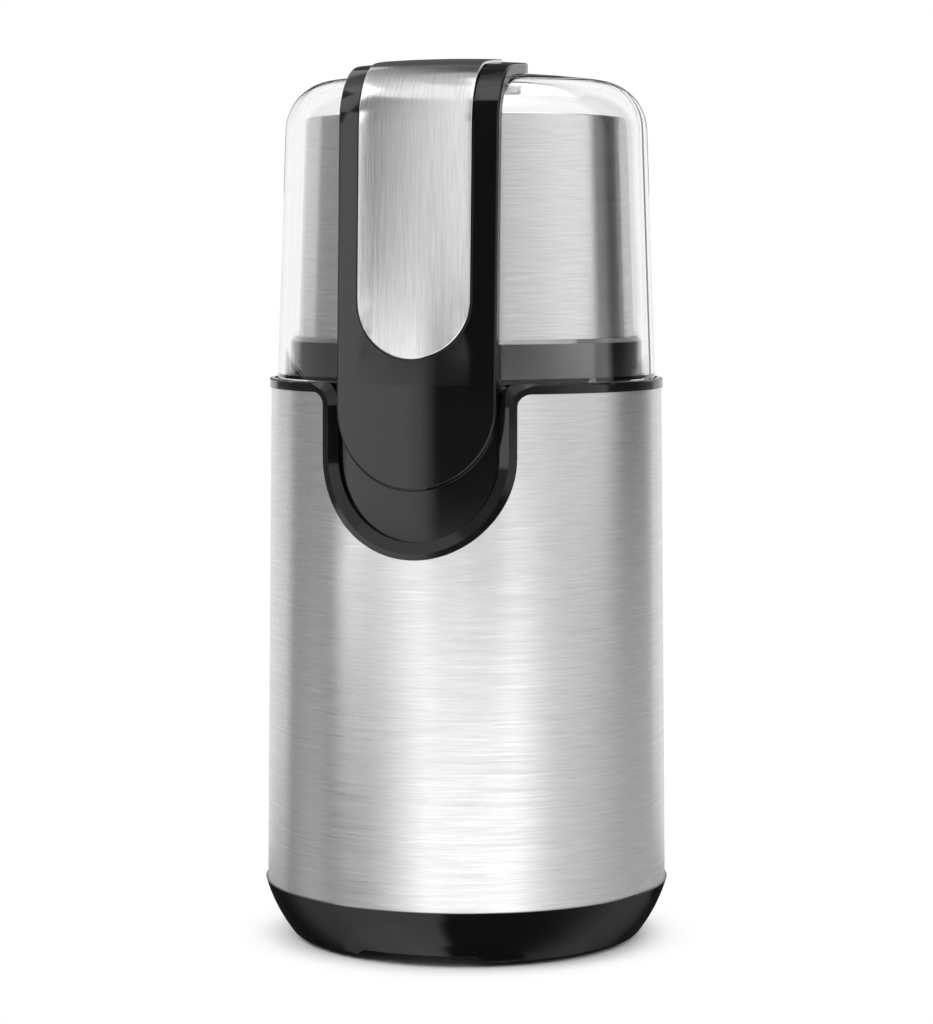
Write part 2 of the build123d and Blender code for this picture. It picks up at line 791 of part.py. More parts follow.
# Blade: a flat hub with two wings that lift and twist towards their tips
wing_stations = [
    (0, blade_root_w, 0, 0),
    (blade_hub_r, blade_root_w, 0, 0),
    (
        blade_hub_r + (blade_reach - blade_hub_r) * blade_mid_share,
        blade_root_w + (blade_tip_w - blade_root_w) * blade_mid_share,
        blade_tip_lift * blade_mid_share**2,
        blade_tip_angle * blade_mid_share,
    ),
    (blade_reach, blade_tip_w, blade_tip_lift, blade_tip_angle),
]
with BuildPart() as blade_wing:
    for station_x, station_w, station_lift, station_angle in wing_stations:
        station_z = blade_z + blade_t / 2 + station_lift
        station_plane = Plane(origin=(station_x, 0, station_z), x_dir=(0, 1, 0), z_dir=(1, 0, 0))
        with BuildSketch(station_plane.rotated((0, 0, station_angle))):
            Rectangle(station_w, blade_t)
    loft()
with BuildPart() as blade:
    with PolarLocations(0, 2):
        add(blade_wing.part)
    with Locations((0, 0, blade_z)):
        Cylinder(blade_hub_r, blade_t, align=(Align.CENTER, Align.CENTER, Align.MIN))
        Cylinder(spindle_r + seat_gap, 2 * overrun, mode=Mode.SUBTRACT)
blade.part.label = "blade"
export_step(blade.part, "parts/blade.step")

# Washer and nut on the blade
with BuildPart() as blade_washer:
    with BuildSketch(Plane.XY.offset(washer_z)):
        Circle(washer_r)
        Circle(spindle_r + seat_gap, mode=Mode.SUBTRACT)
    extrude(amount=washer_t)
blade_washer.part.label = "blade_washer"
export_step(blade_washer.part, "parts/blade_washer.step")

with BuildPart() as blade_nut:
    with BuildSketch(Plane.XY.offset(nut_z)):
        RegularPolygon(blade_nut_across / 2, 6, major_radius=False)
        Circle(spindle_r + seat_gap, mode=Mode.SUBTRACT)
    extrude(amount=blade_nut_t)
blade_nut.part.label = "blade_nut"
export_step(blade_nut.part, "parts/blade_nut.step")

# Spindle from the blade down to the driven coupler, with a shoulder under the blade
spindle_z = driving_plate_top + coupler_gap
with BuildPart() as blade_spindle:
    revolve(
        turned(
            [
                (0, spindle_z),
                (spindle_r, spindle_z),
                (spindle_r, bowl_floor_top + bush_flange_t + seal_t + rest_gap),
                (washer_r, bowl_floor_top + bush_flange_t + seal_t + rest_gap),
                (washer_r, blade_z - seat_gap),
                (spindle_r, blade_z - seat_gap),
                (spindle_r, spindle_top_z),
                (0, spindle_top_z),
            ]
        ),
        axis=Axis.Z,
    )
blade_spindle.part.label = "blade_spindle"
export_step(blade_spindle.part, "parts/blade_spindle.step")

# The two halves of the dog clutch
dog_free = dog_height - coupler_gap
with BuildPart() as bowl_coupler:
    with BuildSketch(Plane.XY.offset(driven_plate_z)):
        Circle(coupler_r)
    extrude(amount=coupler_plate_t)
    with BuildSketch(Plane.XY.offset(driven_plate_z - dog_free)):
        with PolarLocations(0, dog_count):
            add(sector(dog_root_r, coupler_r, 0, dog_angle))
        Circle((dog_root_r + spindle_r) / 2)
    extrude(amount=dog_free)
    with Locations((0, 0, driven_plate_z)):
        Cylinder(spindle_r + seat_gap, 2 * dog_height + 2 * overrun, mode=Mode.SUBTRACT)
bowl_coupler.part.label = "bowl_coupler"
export_step(bowl_coupler.part, "parts/bowl_coupler.step")

with BuildPart() as motor_coupler:
    with BuildSketch(Plane.XY.offset(driving_hub_z)):
        Circle(coupler_hub_r)
    extrude(amount=coupler_hub_h)
    with BuildSketch(Plane.XY.offset(driving_plate_z)):
        Circle(coupler_r)
    extrude(amount=coupler_plate_t)
    with BuildSketch(Plane.XY.offset(driving_plate_top)):
        with PolarLocations(0, dog_count, start_angle=180 / dog_count):
            add(sector(dog_root_r, coupler_r, 0, dog_angle))
    extrude(amount=dog_free)
    with Locations((0, 0, driving_hub_z)):
        Cylinder(
            shaft_r + seat_gap,
            driving_plate_top - driving_hub_z,
            align=(Align.CENTER, Align.CENTER, Align.MIN),
            mode=Mode.SUBTRACT,
        )
motor_coupler.part.label = "motor_coupler"
export_step(motor_coupler.part, "parts/motor_coupler.step")

# Motor shaft
shaft_z = lower_cup_z + cup_floor_t
with BuildPart() as motor_shaft:
    with BuildSketch(Plane.XY.offset(shaft_z)):
        Circle(shaft_r)
    extrude(amount=driving_plate_top - shaft_z)
motor_shaft.part.label = "motor_shaft"
export_step(motor_shaft.part, "parts/motor_shaft.step")

# Armature: a slotted core, its windings and the commutator
with BuildPart() as armature_core:
    with BuildSketch(Plane.XY.offset(stator_z)):
        Circle(armature_r)
        Circle(shaft_r + seat_gap, mode=Mode.SUBTRACT)
        with PolarLocations(slot_circle_r, slot_count):
            Circle(slot_r, mode=Mode.SUBTRACT)
            Rectangle(2 * slot_depth, slot_mouth, align=(Align.MIN, Align.CENTER), mode=Mode.SUBTRACT)
    extrude(amount=stack_h)
armature_core.part.label = "armature_core"
export_step(armature_core.part, "parts/armature_core.step")

with BuildPart() as armature_windings:
    for end_z in (winding_z, stator_top + seat_gap):
        with BuildSketch(Plane.XY.offset(end_z)):
            Circle(winding_r)
            Circle(shaft_r + seat_gap, mode=Mode.SUBTRACT)
        extrude(amount=winding_end_h - seat_gap)
    rim_circles = armature_windings.edges().filter_by(GeomType.CIRCLE)
    fillet(rim_circles.group_by(SortBy.RADIUS)[-1], radius=winding_edge_r)
    with BuildSketch(Plane.XY.offset(winding_z + winding_edge_r)):
        with PolarLocations(slot_circle_r, slot_count):
            Circle(slot_r - seat_gap)
    extrude(amount=stack_h + 2 * winding_end_h - 2 * winding_edge_r)
armature_windings.part.label = "armature_windings"
export_step(armature_windings.part, "parts/armature_windings.step")

with BuildPart() as commutator:
    with BuildSketch(Plane.XY.offset(commutator_z)):
        Circle(commutator_r)
    extrude(amount=commutator_h)
    with BuildSketch(Plane.XY.offset(commutator_top - riser_h)):
        Circle(riser_r)
    extrude(amount=riser_h)
    with BuildSketch(Plane.XY.offset(commutator_z)):
        with PolarLocations(commutator_r - segment_depth, slot_count):
            Rectangle(riser_r, segment_gap, align=(Align.MIN, Align.CENTER))
    extrude(amount=commutator_h, mode=Mode.SUBTRACT)
    with Locations((0, 0, commutator_z)):
        Cylinder(
            shaft_r + seat_gap,
            commutator_h,
            align=(Align.CENTER, Align.CENTER, Align.MIN),
            mode=Mode.SUBTRACT,
        )
commutator.part.label = "commutator"
export_step(commutator.part, "parts/commutator.step")

# Cooling fan
with BuildPart() as cooling_fan:
    with BuildSketch(Plane.XY.offset(fan_z)):
        Circle(fan_r)
    extrude(amount=fan_plate_t)
    with BuildSketch(Plane.XY.offset(fan_z)):
        Circle(fan_hub_r)
        with PolarLocations(0, fan_blade_count):
            Rectangle(fan_r - fan_blade_t, fan_blade_t, align=(Align.MIN, Align.CENTER))
    extrude(amount=fan_h)
    with Locations((0, 0, fan_z)):
        Cylinder(
            shaft_r + seat_gap, fan_h, align=(Align.CENTER, Align.CENTER, Align.MIN), mode=Mode.SUBTRACT
        )
cooling_fan.part.label = "cooling_fan"
export_step(cooling_fan.part, "parts/cooling_fan.step")

# Rod from the lid's edge to the switch: its neck passes the groove's floor, its shoulder stops there
with BuildPart() as switch_plunger:
    with BuildSketch(Plane.XY.offset(button_top_z)):
        with Locations(polar(pin_circle_r, pin_first_angle)):
            Circle(pin_r)
    extrude(amount=collar_under_z - button_top_z)
    with BuildSketch(Plane.XY.offset(collar_under_z)):
        with Locations(polar(pin_circle_r, pin_first_angle)):
            Circle(pin_neck_r)
    extrude(amount=dome_foot_z - collar_under_z)
switch_plunger.part.label = "switch_plunger"
export_step(switch_plunger.part, "parts/switch_plunger.step")

# Two sprung pins that carry the rest of the lid's edge
lift_angles = [pin_first_angle + 360 * index / pin_count for index in range(1, pin_count)]
lift_places = [polar(pin_circle_r, angle) for angle in lift_angles]
with BuildPart() as lift_pins:
    with BuildSketch(Plane.XY.offset(lift_pin_z)):
        with Locations(*lift_places):
            Circle(pin_r)
    extrude(amount=collar_under_z - lift_pin_z)
    with BuildSketch(Plane.XY.offset(collar_under_z)):
        with Locations(*lift_places):
            Circle(pin_neck_r)
    extrude(amount=dome_foot_z - collar_under_z)
lift_pins.part.label = "lift_pins"
export_step(lift_pins.part, "parts/lift_pins.step")

# Springs under the lift pins
spring_z = guide_z + guide_floor_t
lift_spring = coil_spring(pin_r - spring_wire_r, spring_wire_r, spring_turns, lift_pin_z - spring_z)
with BuildPart() as lift_springs:
    with Locations(*[(x, y, spring_z) for x, y in lift_places]):
        add(lift_spring)
lift_springs.part.label = "lift_springs"
export_step(lift_springs.part, "parts/lift_springs.step")

# Button of the switch, under the rod
with BuildPart() as switch_button:
    with BuildSketch(Plane.XY.offset(switch_top_z - button_depth)):
        with Locations(polar(pin_circle_r, pin_first_angle)):
            Circle(button_r)
    extrude(amount=button_top_z - switch_top_z + button_depth)
switch_button.part.label = "switch_button"
export_step(switch_button.part, "parts/switch_button.step")

# Switch body, with its terminals and the bore for its button
switch_screw_z = switch_z + switch_h / 2
switch_face_y = switch_y + switch_t
switch_mid_y = switch_y + switch_t / 2
button_bore_h = button_depth + press_travel + rest_gap
with BuildPart() as microswitch:
    with BuildSketch(Plane.XY.offset(switch_z)):
        with Locations((0, switch_y)):
            Rectangle(switch_w, switch_t, align=(Align.CENTER, Align.MIN))
    extrude(amount=switch_h)
    with BuildSketch(Plane.XY.offset(switch_z - terminal_h)):
        with Locations((-switch_screw_x, switch_mid_y), (switch_screw_x, switch_mid_y)):
            Rectangle(terminal_w, terminal_t)
    extrude(amount=terminal_h)
    with BuildSketch(Plane.XY.offset(switch_top_z)):
        with Locations(polar(pin_circle_r, pin_first_angle)):
            Circle(button_r + running_gap)
    extrude(amount=-button_bore_h, mode=Mode.SUBTRACT)
    switch_front = Plane(origin=(0, switch_face_y, switch_screw_z), x_dir=(1, 0, 0), z_dir=(0, 1, 0))
    with Locations(switch_front):
        with Locations((-switch_screw_x, 0), (switch_screw_x, 0)):
            CounterBoreHole(
                switch_screw_r + seat_gap, switch_screw_head_r + seat_gap, switch_screw_head_h + seat_gap
            )
microswitch.part.label = "microswitch"
export_step(microswitch.part, "parts/microswitch.step")

switch_screw = pan_screw(
    switch_screw_r,
    switch_t - switch_screw_head_h - seat_gap + switch_screw_bite,
    switch_screw_head_r,
    switch_screw_head_h,
)
switch_screw_y = switch_face_y - switch_screw_head_h - seat_gap
with BuildPart() as switch_screws:
    with Locations(Plane(origin=(0, switch_screw_y, switch_screw_z), x_dir=(1, 0, 0), z_dir=(0, 1, 0))):
        with Locations((-switch_screw_x, 0), (switch_screw_x, 0)):
            add(switch_screw)
switch_screws.part.label = "switch_screws"
export_step(switch_screws.part, "parts/switch_screws.step")

# Steel sleeve of the body
front_reach = base_rim_r + overrun
with BuildPart() as body_sleeve:
    revolve(
        turned(
            [
                (sleeve_foot_r - sleeve_wall, base_rim_z),
                (sleeve_foot_r, base_rim_z),
                (sleeve_top_r, sleeve_top_z),
                (sleeve_top_r - sleeve_wall, sleeve_top_z),
            ]
        ),
        axis=Axis.Z,
    )
    extrude(
        u_outline(cutout_half, cutout_corner_r, sleeve_top_z),
        amount=front_reach,
        dir=(0, -1, 0),
        mode=Mode.SUBTRACT,
    )
body_sleeve.part.label = "body_sleeve"
export_step(body_sleeve.part, "parts/body_sleeve.step")

# The collar's lip and front: a turned shell, cut away below the lip but for the trim and the recess
recess_low_z = cutout_z - cutout_half - overrun
recess_back_r = recess_r - recess_back_t
with BuildPart() as below_lip:
    with BuildSketch(Plane.XY.offset(recess_low_z - overrun)):
        Circle(front_reach)
    extrude(amount=lip_z - recess_low_z + overrun)
    extrude(
        u_outline(cutout_half - seat_gap, cutout_corner_r + seat_gap, lip_z),
        amount=front_reach,
        dir=(0, -1, 0),
        mode=Mode.SUBTRACT,
    )
with BuildPart() as recess_block:
    revolve(
        turned(
            [
                (recess_back_r, recess_low_z),
                (sleeve_radius(recess_low_z) + lip_proud, recess_low_z),
                (sleeve_radius(lip_top_z) + lip_proud, lip_top_z),
                (lip_in_r, lip_top_z),
                (lip_in_r, ledge_z),
                (collar_in_r, ledge_z),
                (collar_in_r, groove_z),
                (recess_back_r, groove_z),
            ]
        ),
        axis=Axis.Z,
    )
    add(below_lip.part, mode=Mode.SUBTRACT)
recess_corner_r = cutout_corner_r + trim_w + recess_bevel
with BuildPart() as recess_tool:
    revolve(
        turned(
            [
                (recess_r, recess_low_z),
                (front_reach, recess_low_z),
                (front_reach, lip_top_z + overrun),
                (recess_r, lip_top_z + overrun),
            ]
        ),
        axis=Axis.Z,
    )
    extrude(
        u_outline(recess_half, recess_corner_r, lip_top_z + recess_corner_rise),
        amount=front_reach,
        dir=(0, -1, 0),
        mode=Mode.INTERSECT,
    )

# Collar: lip, groove for the lid's foot, deck and socket for the bowl, guides for the pins
with BuildPart() as top_collar:
    revolve(
        turned(
            [
                (collar_in_r, lip_z),
                (collar_in_r, groove_z),
                (deck_r, groove_z),
                (deck_r, deck_z),
                (deck_hole_r, deck_z),
                (deck_hole_r, deck_under_z),
                (socket_r, deck_under_z),
                (socket_r, socket_floor_z),
                (socket_hole_r, socket_floor_z),
                (socket_hole_r, socket_floor_z - socket_floor_t),
                (socket_out_r, socket_floor_z - socket_floor_t),
                (socket_out_r, collar_under_z),
                (collar_r, collar_under_z),
                (collar_r, lip_z),
            ]
        ),
        axis=Axis.Z,
    )
    add(recess_block.part)
    add(recess_tool.part, mode=Mode.SUBTRACT)
    recess_rim = top_collar.edges(Select.LAST).filter_by(GeomType.BSPLINE)
    recess_rim = recess_rim.filter_by(lambda edge: abs(edge.center().X) < cutout_half - trim_w)
    recess_rim = recess_rim.filter_by(
        lambda edge: math.hypot(edge.center().X, edge.center().Y) > (lip_in_r + sleeve_top_r) / 2
    )
    trim_face = top_collar.faces().filter_by(lambda face: recess_rim[0] in face.edges())
    trim_face = trim_face.sort_by(SortBy.AREA)[-1]
    chamfer(recess_rim, length=recess_bevel, length2=recess_bevel_depth, reference=trim_face)
    lip_edges = top_collar.edges().filter_by(GeomType.CIRCLE).group_by(Axis.Z)[-1]
    fillet(lip_edges, radius=lip_edge_r)
    with BuildSketch(Plane.XY.offset(guide_z)):
        with PolarLocations(pin_circle_r, pin_count, start_angle=pin_first_angle):
            Rectangle(guide_depth, guide_width)
    extrude(amount=guide_drop)
    with BuildSketch(Plane.XY.offset(collar_under_z)):
        with PolarLocations(pin_circle_r, pin_count, start_angle=pin_first_angle):
            Circle(pin_neck_r + running_gap)
    extrude(amount=groove_floor_t, mode=Mode.SUBTRACT)
    with BuildSketch(Plane.XY.offset(spring_z)):
        with PolarLocations(pin_circle_r, pin_count, start_angle=pin_first_angle):
            Circle(pin_r + running_gap)
    extrude(amount=collar_under_z - spring_z, mode=Mode.SUBTRACT)
    with BuildSketch(Plane.XY.offset(guide_z)):
        with Locations(polar(pin_circle_r, pin_first_angle)):
            Circle(pin_r + running_gap)
    extrude(amount=guide_floor_t, mode=Mode.SUBTRACT)
    with BuildSketch(Plane.XY.offset(deck_under_z)):
        with PolarLocations(0, lug_count):
            add(sector(boss_r, socket_r, lug_twist, lug_slot_angle))
    extrude(amount=deck_t, mode=Mode.SUBTRACT)
    with Locations(Plane.XY.offset(deck_z)):
        with PolarLocations(collar_boss_circle_r, collar_boss_count, start_angle=collar_boss_first_angle):
            CounterBoreHole(screw_r + seat_gap, screw_head_r + seat_gap, screw_head_h + rest_gap)
top_collar.part.label = "top_collar"
export_step(top_collar.part, "parts/top_collar.step")

# Screws through the collar's deck into the inner housing
collar_screw = pan_screw(screw_r, collar_screw_length, screw_head_r, screw_head_h)
with BuildPart() as collar_screws:
    with Locations(Plane.XY.offset(collar_screw_z)):
        with PolarLocations(collar_boss_circle_r, collar_boss_count, start_angle=collar_boss_first_angle):
            add(collar_screw)
collar_screws.part.label = "collar_screws"
export_step(collar_screws.part, "parts/collar_screws.step")

# Inner housing: a tube with a shelf for the motor, screw bosses and a pad for the switch
base_boss_places = [polar(base_boss_circle_r, angle) for angle in base_screw_angles]
base_boss_rib = base_boss_inset + tube_wall / 2
wire_hole_z = switch_z - terminal_h - wire_bend_r - wire_r
pad_low_z = switch_z - seat_gap
with BuildPart() as inner_housing:
    with BuildSketch(Plane.XY.offset(tube_z)):
        Circle(tube_r)
        Circle(tube_in_r, mode=Mode.SUBTRACT)
    extrude(amount=tube_top_z - tube_z)
    with BuildSketch(Plane.XY.offset(window_z)):
        with PolarLocations(tube_r, window_count, start_angle=180 / window_count):
            Rectangle(tube_r, window_w)
    extrude(amount=window_h, mode=Mode.SUBTRACT)
    with BuildSketch(Plane.XY.offset(shelf_z)):
        Circle(tube_in_r + tube_wall / 2)
        Circle(shelf_hole_r, mode=Mode.SUBTRACT)
    extrude(amount=shelf_t)
    with BuildSketch(Plane.XY.offset(shelf_z - shelf_boss_h)):
        with PolarLocations(mount_circle_r, mount_count, start_angle=mount_first_angle):
            Circle(shelf_boss_r)
    extrude(amount=shelf_boss_h)
    with BuildSketch(Plane.XY.offset(tube_z)):
        with Locations(*base_boss_places):
            Circle(base_boss_r)
        for angle in base_screw_angles:
            with Locations(Rotation(0, 0, angle)):
                with Locations((base_boss_circle_r, 0)):
                    Rectangle(base_boss_rib, base_boss_r, align=(Align.MIN, Align.CENTER))
    extrude(amount=base_boss_h)
    with BuildSketch(Plane.XY.offset(tube_top_z - collar_boss_h)):
        with PolarLocations(collar_boss_circle_r, collar_boss_count, start_angle=collar_boss_first_angle):
            Circle(collar_boss_r)
    extrude(amount=collar_boss_h)
    with BuildSketch(Plane.XY.offset(pad_low_z)):
        with Locations((0, switch_y - seat_gap)):
            Rectangle(switch_w, switch_pad_t, align=(Align.CENTER, Align.MAX))
    extrude(amount=switch_h)
    with Locations((0, tube_r, wire_hole_z)):
        Box(wire_hole_w, 2 * tube_wall + 2 * switch_pad_t, wire_hole_h, mode=Mode.SUBTRACT)
    with Locations(Plane.XY.offset(tube_top_z)):
        with PolarLocations(collar_boss_circle_r, collar_boss_count, start_angle=collar_boss_first_angle):
            Hole(screw_r + seat_gap, depth=collar_boss_h)
    with Locations(Plane.XY.offset(shelf_top_z)):
        with PolarLocations(mount_circle_r, mount_count, start_angle=mount_first_angle):
            Hole(screw_r + seat_gap, depth=shelf_t + shelf_boss_h)
    with Locations(Plane.XY.offset(tube_z + base_boss_h)):
        with Locations(*base_boss_places):
            Hole(screw_r + seat_gap, depth=base_boss_h)
    with Locations(Plane(origin=(0, switch_y, switch_screw_z), x_dir=(1, 0, 0), z_dir=(0, 1, 0))):
        with Locations((-switch_screw_x, 0), (switch_screw_x, 0)):
            Hole(switch_screw_r + seat_gap, depth=switch_screw_bite + seat_gap)
inner_housing.part.label = "inner_housing"
export_step(inner_housing.part, "parts/inner_housing.step")

# Motor plate with the cup of the upper bearing
cup_top = plate_top + bearing_h
with BuildPart() as motor_plate:
    revolve(
        turned(
            [
                (shaft_r + slide_gap, plate_z),
                (plate_r, plate_z),
                (plate_r, plate_top),
                (cup_r, plate_top),
                (cup_r, cup_top),
                (bearing_r + seat_gap, cup_top),
                (bearing_r + seat_gap, plate_top),
                (shaft_r + slide_gap, plate_top),
            ]
        ),
        axis=Axis.Z,
    )
    with Locations(Plane.XY.offset(plate_top)):
        with PolarLocations(mount_circle_r, mount_count, start_angle=mount_first_angle):
            Hole(screw_r + seat_gap, depth=plate_t)
        with Locations((-bolt_x, 0), (bolt_x, 0)):
            Hole(bolt_r + seat_gap, depth=plate_t)
motor_plate.part.label = "motor_plate"
export_step(motor_plate.part, "parts/motor_plate.step")

# Rubber washers between shelf and motor plate
with BuildPart() as motor_mounts:
    with BuildSketch(Plane.XY.offset(shelf_top_z)):
        with PolarLocations(mount_circle_r, mount_count, start_angle=mount_first_angle):
            Circle(mount_r)
            Circle(screw_r + seat_gap, mode=Mode.SUBTRACT)
    extrude(amount=mount_t)
motor_mounts.part.label = "motor_mounts"
export_step(motor_mounts.part, "parts/motor_mounts.step")

mount_screw = pan_screw(screw_r, mount_screw_length, screw_head_r, screw_head_h)
with BuildPart() as mount_screws:
    with Locations(Plane.XY.offset(plate_top)):
        with PolarLocations(mount_circle_r, mount_count, start_angle=mount_first_angle):
            add(mount_screw)
mount_screws.part.label = "mount_screws"
export_step(mount_screws.part, "parts/mount_screws.step")

# Bearings at the two ends of the shaft
with BuildPart() as upper_bearing:
    with BuildSketch(Plane.XY.offset(plate_top)):
        Circle(bearing_r)
        Circle(shaft_r + running_gap, mode=Mode.SUBTRACT)
    extrude(amount=bearing_h)
upper_bearing.part.label = "upper_bearing"
export_step(upper_bearing.part, "parts/upper_bearing.step")

with BuildPart() as lower_bearing:
    with BuildSketch(Plane.XY.offset(lower_cup_z + cup_floor_t)):
        Circle(bearing_r)
        Circle(shaft_r + running_gap, mode=Mode.SUBTRACT)
    extrude(amount=bearing_h)
lower_bearing.part.label = "lower_bearing"
export_step(lower_bearing.part, "parts/lower_bearing.step")

# Lower bracket: a bar with the cup of the lower bearing, and two legs up to the stator
with BuildPart() as lower_bracket:
    with BuildSketch(Plane.XY.offset(bracket_z)):
        Rectangle(2 * bolt_x + leg_t, bracket_w)
    extrude(amount=bracket_t)
    with BuildSketch(Plane.XY.offset(lower_cup_z)):
        Circle(cup_r)
    extrude(amount=bracket_top - lower_cup_z)
    with BuildSketch(Plane.XY.offset(lower_cup_z + cup_floor_t)):
        Circle(bearing_r + seat_gap)
    extrude(amount=bracket_top - lower_cup_z, mode=Mode.SUBTRACT)
    with BuildSketch(Plane.XY.offset(lower_cup_z)):
        Circle(shaft_r + slide_gap)
    extrude(amount=cup_floor_t, mode=Mode.SUBTRACT)
    with BuildSketch(Plane.XY.offset(bracket_top)):
        with Locations((-bolt_x, 0), (bolt_x, 0)):
            Rectangle(leg_t, leg_w)
    extrude(amount=stator_z - seat_gap - bracket_top)
    with Locations(Plane.XY.offset(stator_z)):
        with Locations((-bolt_x, 0), (bolt_x, 0)):
            Hole(bolt_r + seat_gap, depth=stator_z - bracket_z)
lower_bracket.part.label = "lower_bracket"
export_step(lower_bracket.part, "parts/lower_bracket.step")

# Stator: a yoke with two poles, and a coil round each pole
with BuildPart() as stator_core:
    with BuildSketch(Plane.XY.offset(stator_z)):
        Circle(stator_r)
        Rectangle(2 * stator_flat, 2 * stator_r, mode=Mode.INTERSECT)
        Circle(stator_window_r, mode=Mode.SUBTRACT)
        for pole_side in (90, 270):
            add(sector(stator_bore_r, shoe_r, pole_side, pole_shoe_angle))
            with Locations(Rotation(0, 0, pole_side)):
                with Locations(((shoe_r + stator_window_r) / 2, 0)):
                    Rectangle(stator_window_r - shoe_r + pole_shoe_t, 2 * pole_half)
        with Locations((-bolt_x, 0), (bolt_x, 0)):
            Circle(bolt_r + seat_gap, mode=Mode.SUBTRACT)
        Circle(stator_bore_r, mode=Mode.SUBTRACT)
    extrude(amount=stack_h)
stator_core.part.label = "stator_core"
export_step(stator_core.part, "parts/stator_core.step")

coil_inner_w = 2 * coil_half - 2 * coil_w
coil_inner_h = stack_h + 2 * slide_gap
coil_mid_z = stator_z + stack_h / 2
with BuildPart() as field_coils:
    for coil_side in (1, -1):
        coil_plane = Plane(
            origin=(0, coil_side * coil_low_y, coil_mid_z), x_dir=(1, 0, 0), z_dir=(0, coil_side, 0)
        )
        with BuildSketch(coil_plane):
            RectangleRounded(2 * coil_half, coil_inner_h + 2 * coil_end_h, coil_w)
            Rectangle(coil_inner_w, coil_inner_h, mode=Mode.SUBTRACT)
        extrude(amount=coil_high_y - coil_low_y)
field_coils.part.label = "field_coils"
export_step(field_coils.part, "parts/field_coils.step")

# Bolts that clamp bracket, stator and motor plate
stack_bolt = pan_screw(bolt_r, plate_top - bracket_z, bolt_head_r, bolt_head_h)
with BuildPart() as through_bolts:
    with Locations(Plane.XY.offset(plate_top)):
        with Locations((-bolt_x, 0), (bolt_x, 0)):
            add(stack_bolt)
through_bolts.part.label = "through_bolts"
export_step(through_bolts.part, "parts/through_bolts.step")

# Brush gear: an insulating plate, two holders, their brushes and springs
with BuildPart() as brush_plate:
    with BuildSketch(Plane.XY.offset(brush_plate_z)):
        Circle(brush_plate_r)
        Circle(brush_plate_hole_r, mode=Mode.SUBTRACT)
    extrude(amount=brush_plate_t)
brush_plate.part.label = "brush_plate"
export_step(brush_plate.part, "parts/brush_plate.step")

brush_face_y = commutator_r + rest_gap
holder_y = riser_r + slide_gap
holder_w = brush_w + 2 * seat_gap + 2 * brush_wall
holder_end_y = brush_plate_r + holder_overhang
holder_length = holder_end_y - holder_y
brush_length = holder_length * brush_length_share
brush_sides = [Plane(origin=(0, 0, brush_z), x_dir=(1, 0, 0), z_dir=(0, side, 0)) for side in (1, -1)]
with BuildPart() as brush_holders:
    for brush_plane in brush_sides:
        with BuildSketch(brush_plane.offset(holder_y)):
            Rectangle(holder_w, holder_w)
            Rectangle(brush_w + 2 * seat_gap, brush_w + 2 * seat_gap, mode=Mode.SUBTRACT)
        extrude(amount=holder_length)
        with BuildSketch(brush_plane.offset(holder_end_y - brush_wall)):
            Rectangle(holder_w, holder_w)
        extrude(amount=brush_wall)
    foot_y = (holder_y + brush_plate_hole_r) / 2 + holder_length / 2
    with BuildSketch(Plane.XY.offset(brush_plate_top)):
        with Locations((0, foot_y), (0, -foot_y)):
            Rectangle(holder_foot_w, holder_foot_w)
    extrude(amount=brush_z - holder_w / 2 - brush_plate_top)
brush_holders.part.label = "brush_holders"
export_step(brush_holders.part, "parts/brush_holders.step")

with BuildPart() as carbon_brushes:
    for brush_plane in brush_sides:
        with BuildSketch(brush_plane.offset(brush_face_y)):
            Rectangle(brush_w, brush_w)
        extrude(amount=brush_length)
carbon_brushes.part.label = "carbon_brushes"
export_step(carbon_brushes.part, "parts/carbon_brushes.step")

brush_spring_length = holder_end_y - brush_wall - brush_face_y - brush_length
brush_spring = coil_spring(brush_spring_r, spring_wire_r, spring_turns, brush_spring_length)
with BuildPart() as brush_springs:
    for brush_plane in brush_sides:
        with Locations(brush_plane.offset(brush_face_y + brush_length)):
            add(brush_spring)
brush_springs.part.label = "brush_springs"
export_step(brush_springs.part, "parts/brush_springs.step")

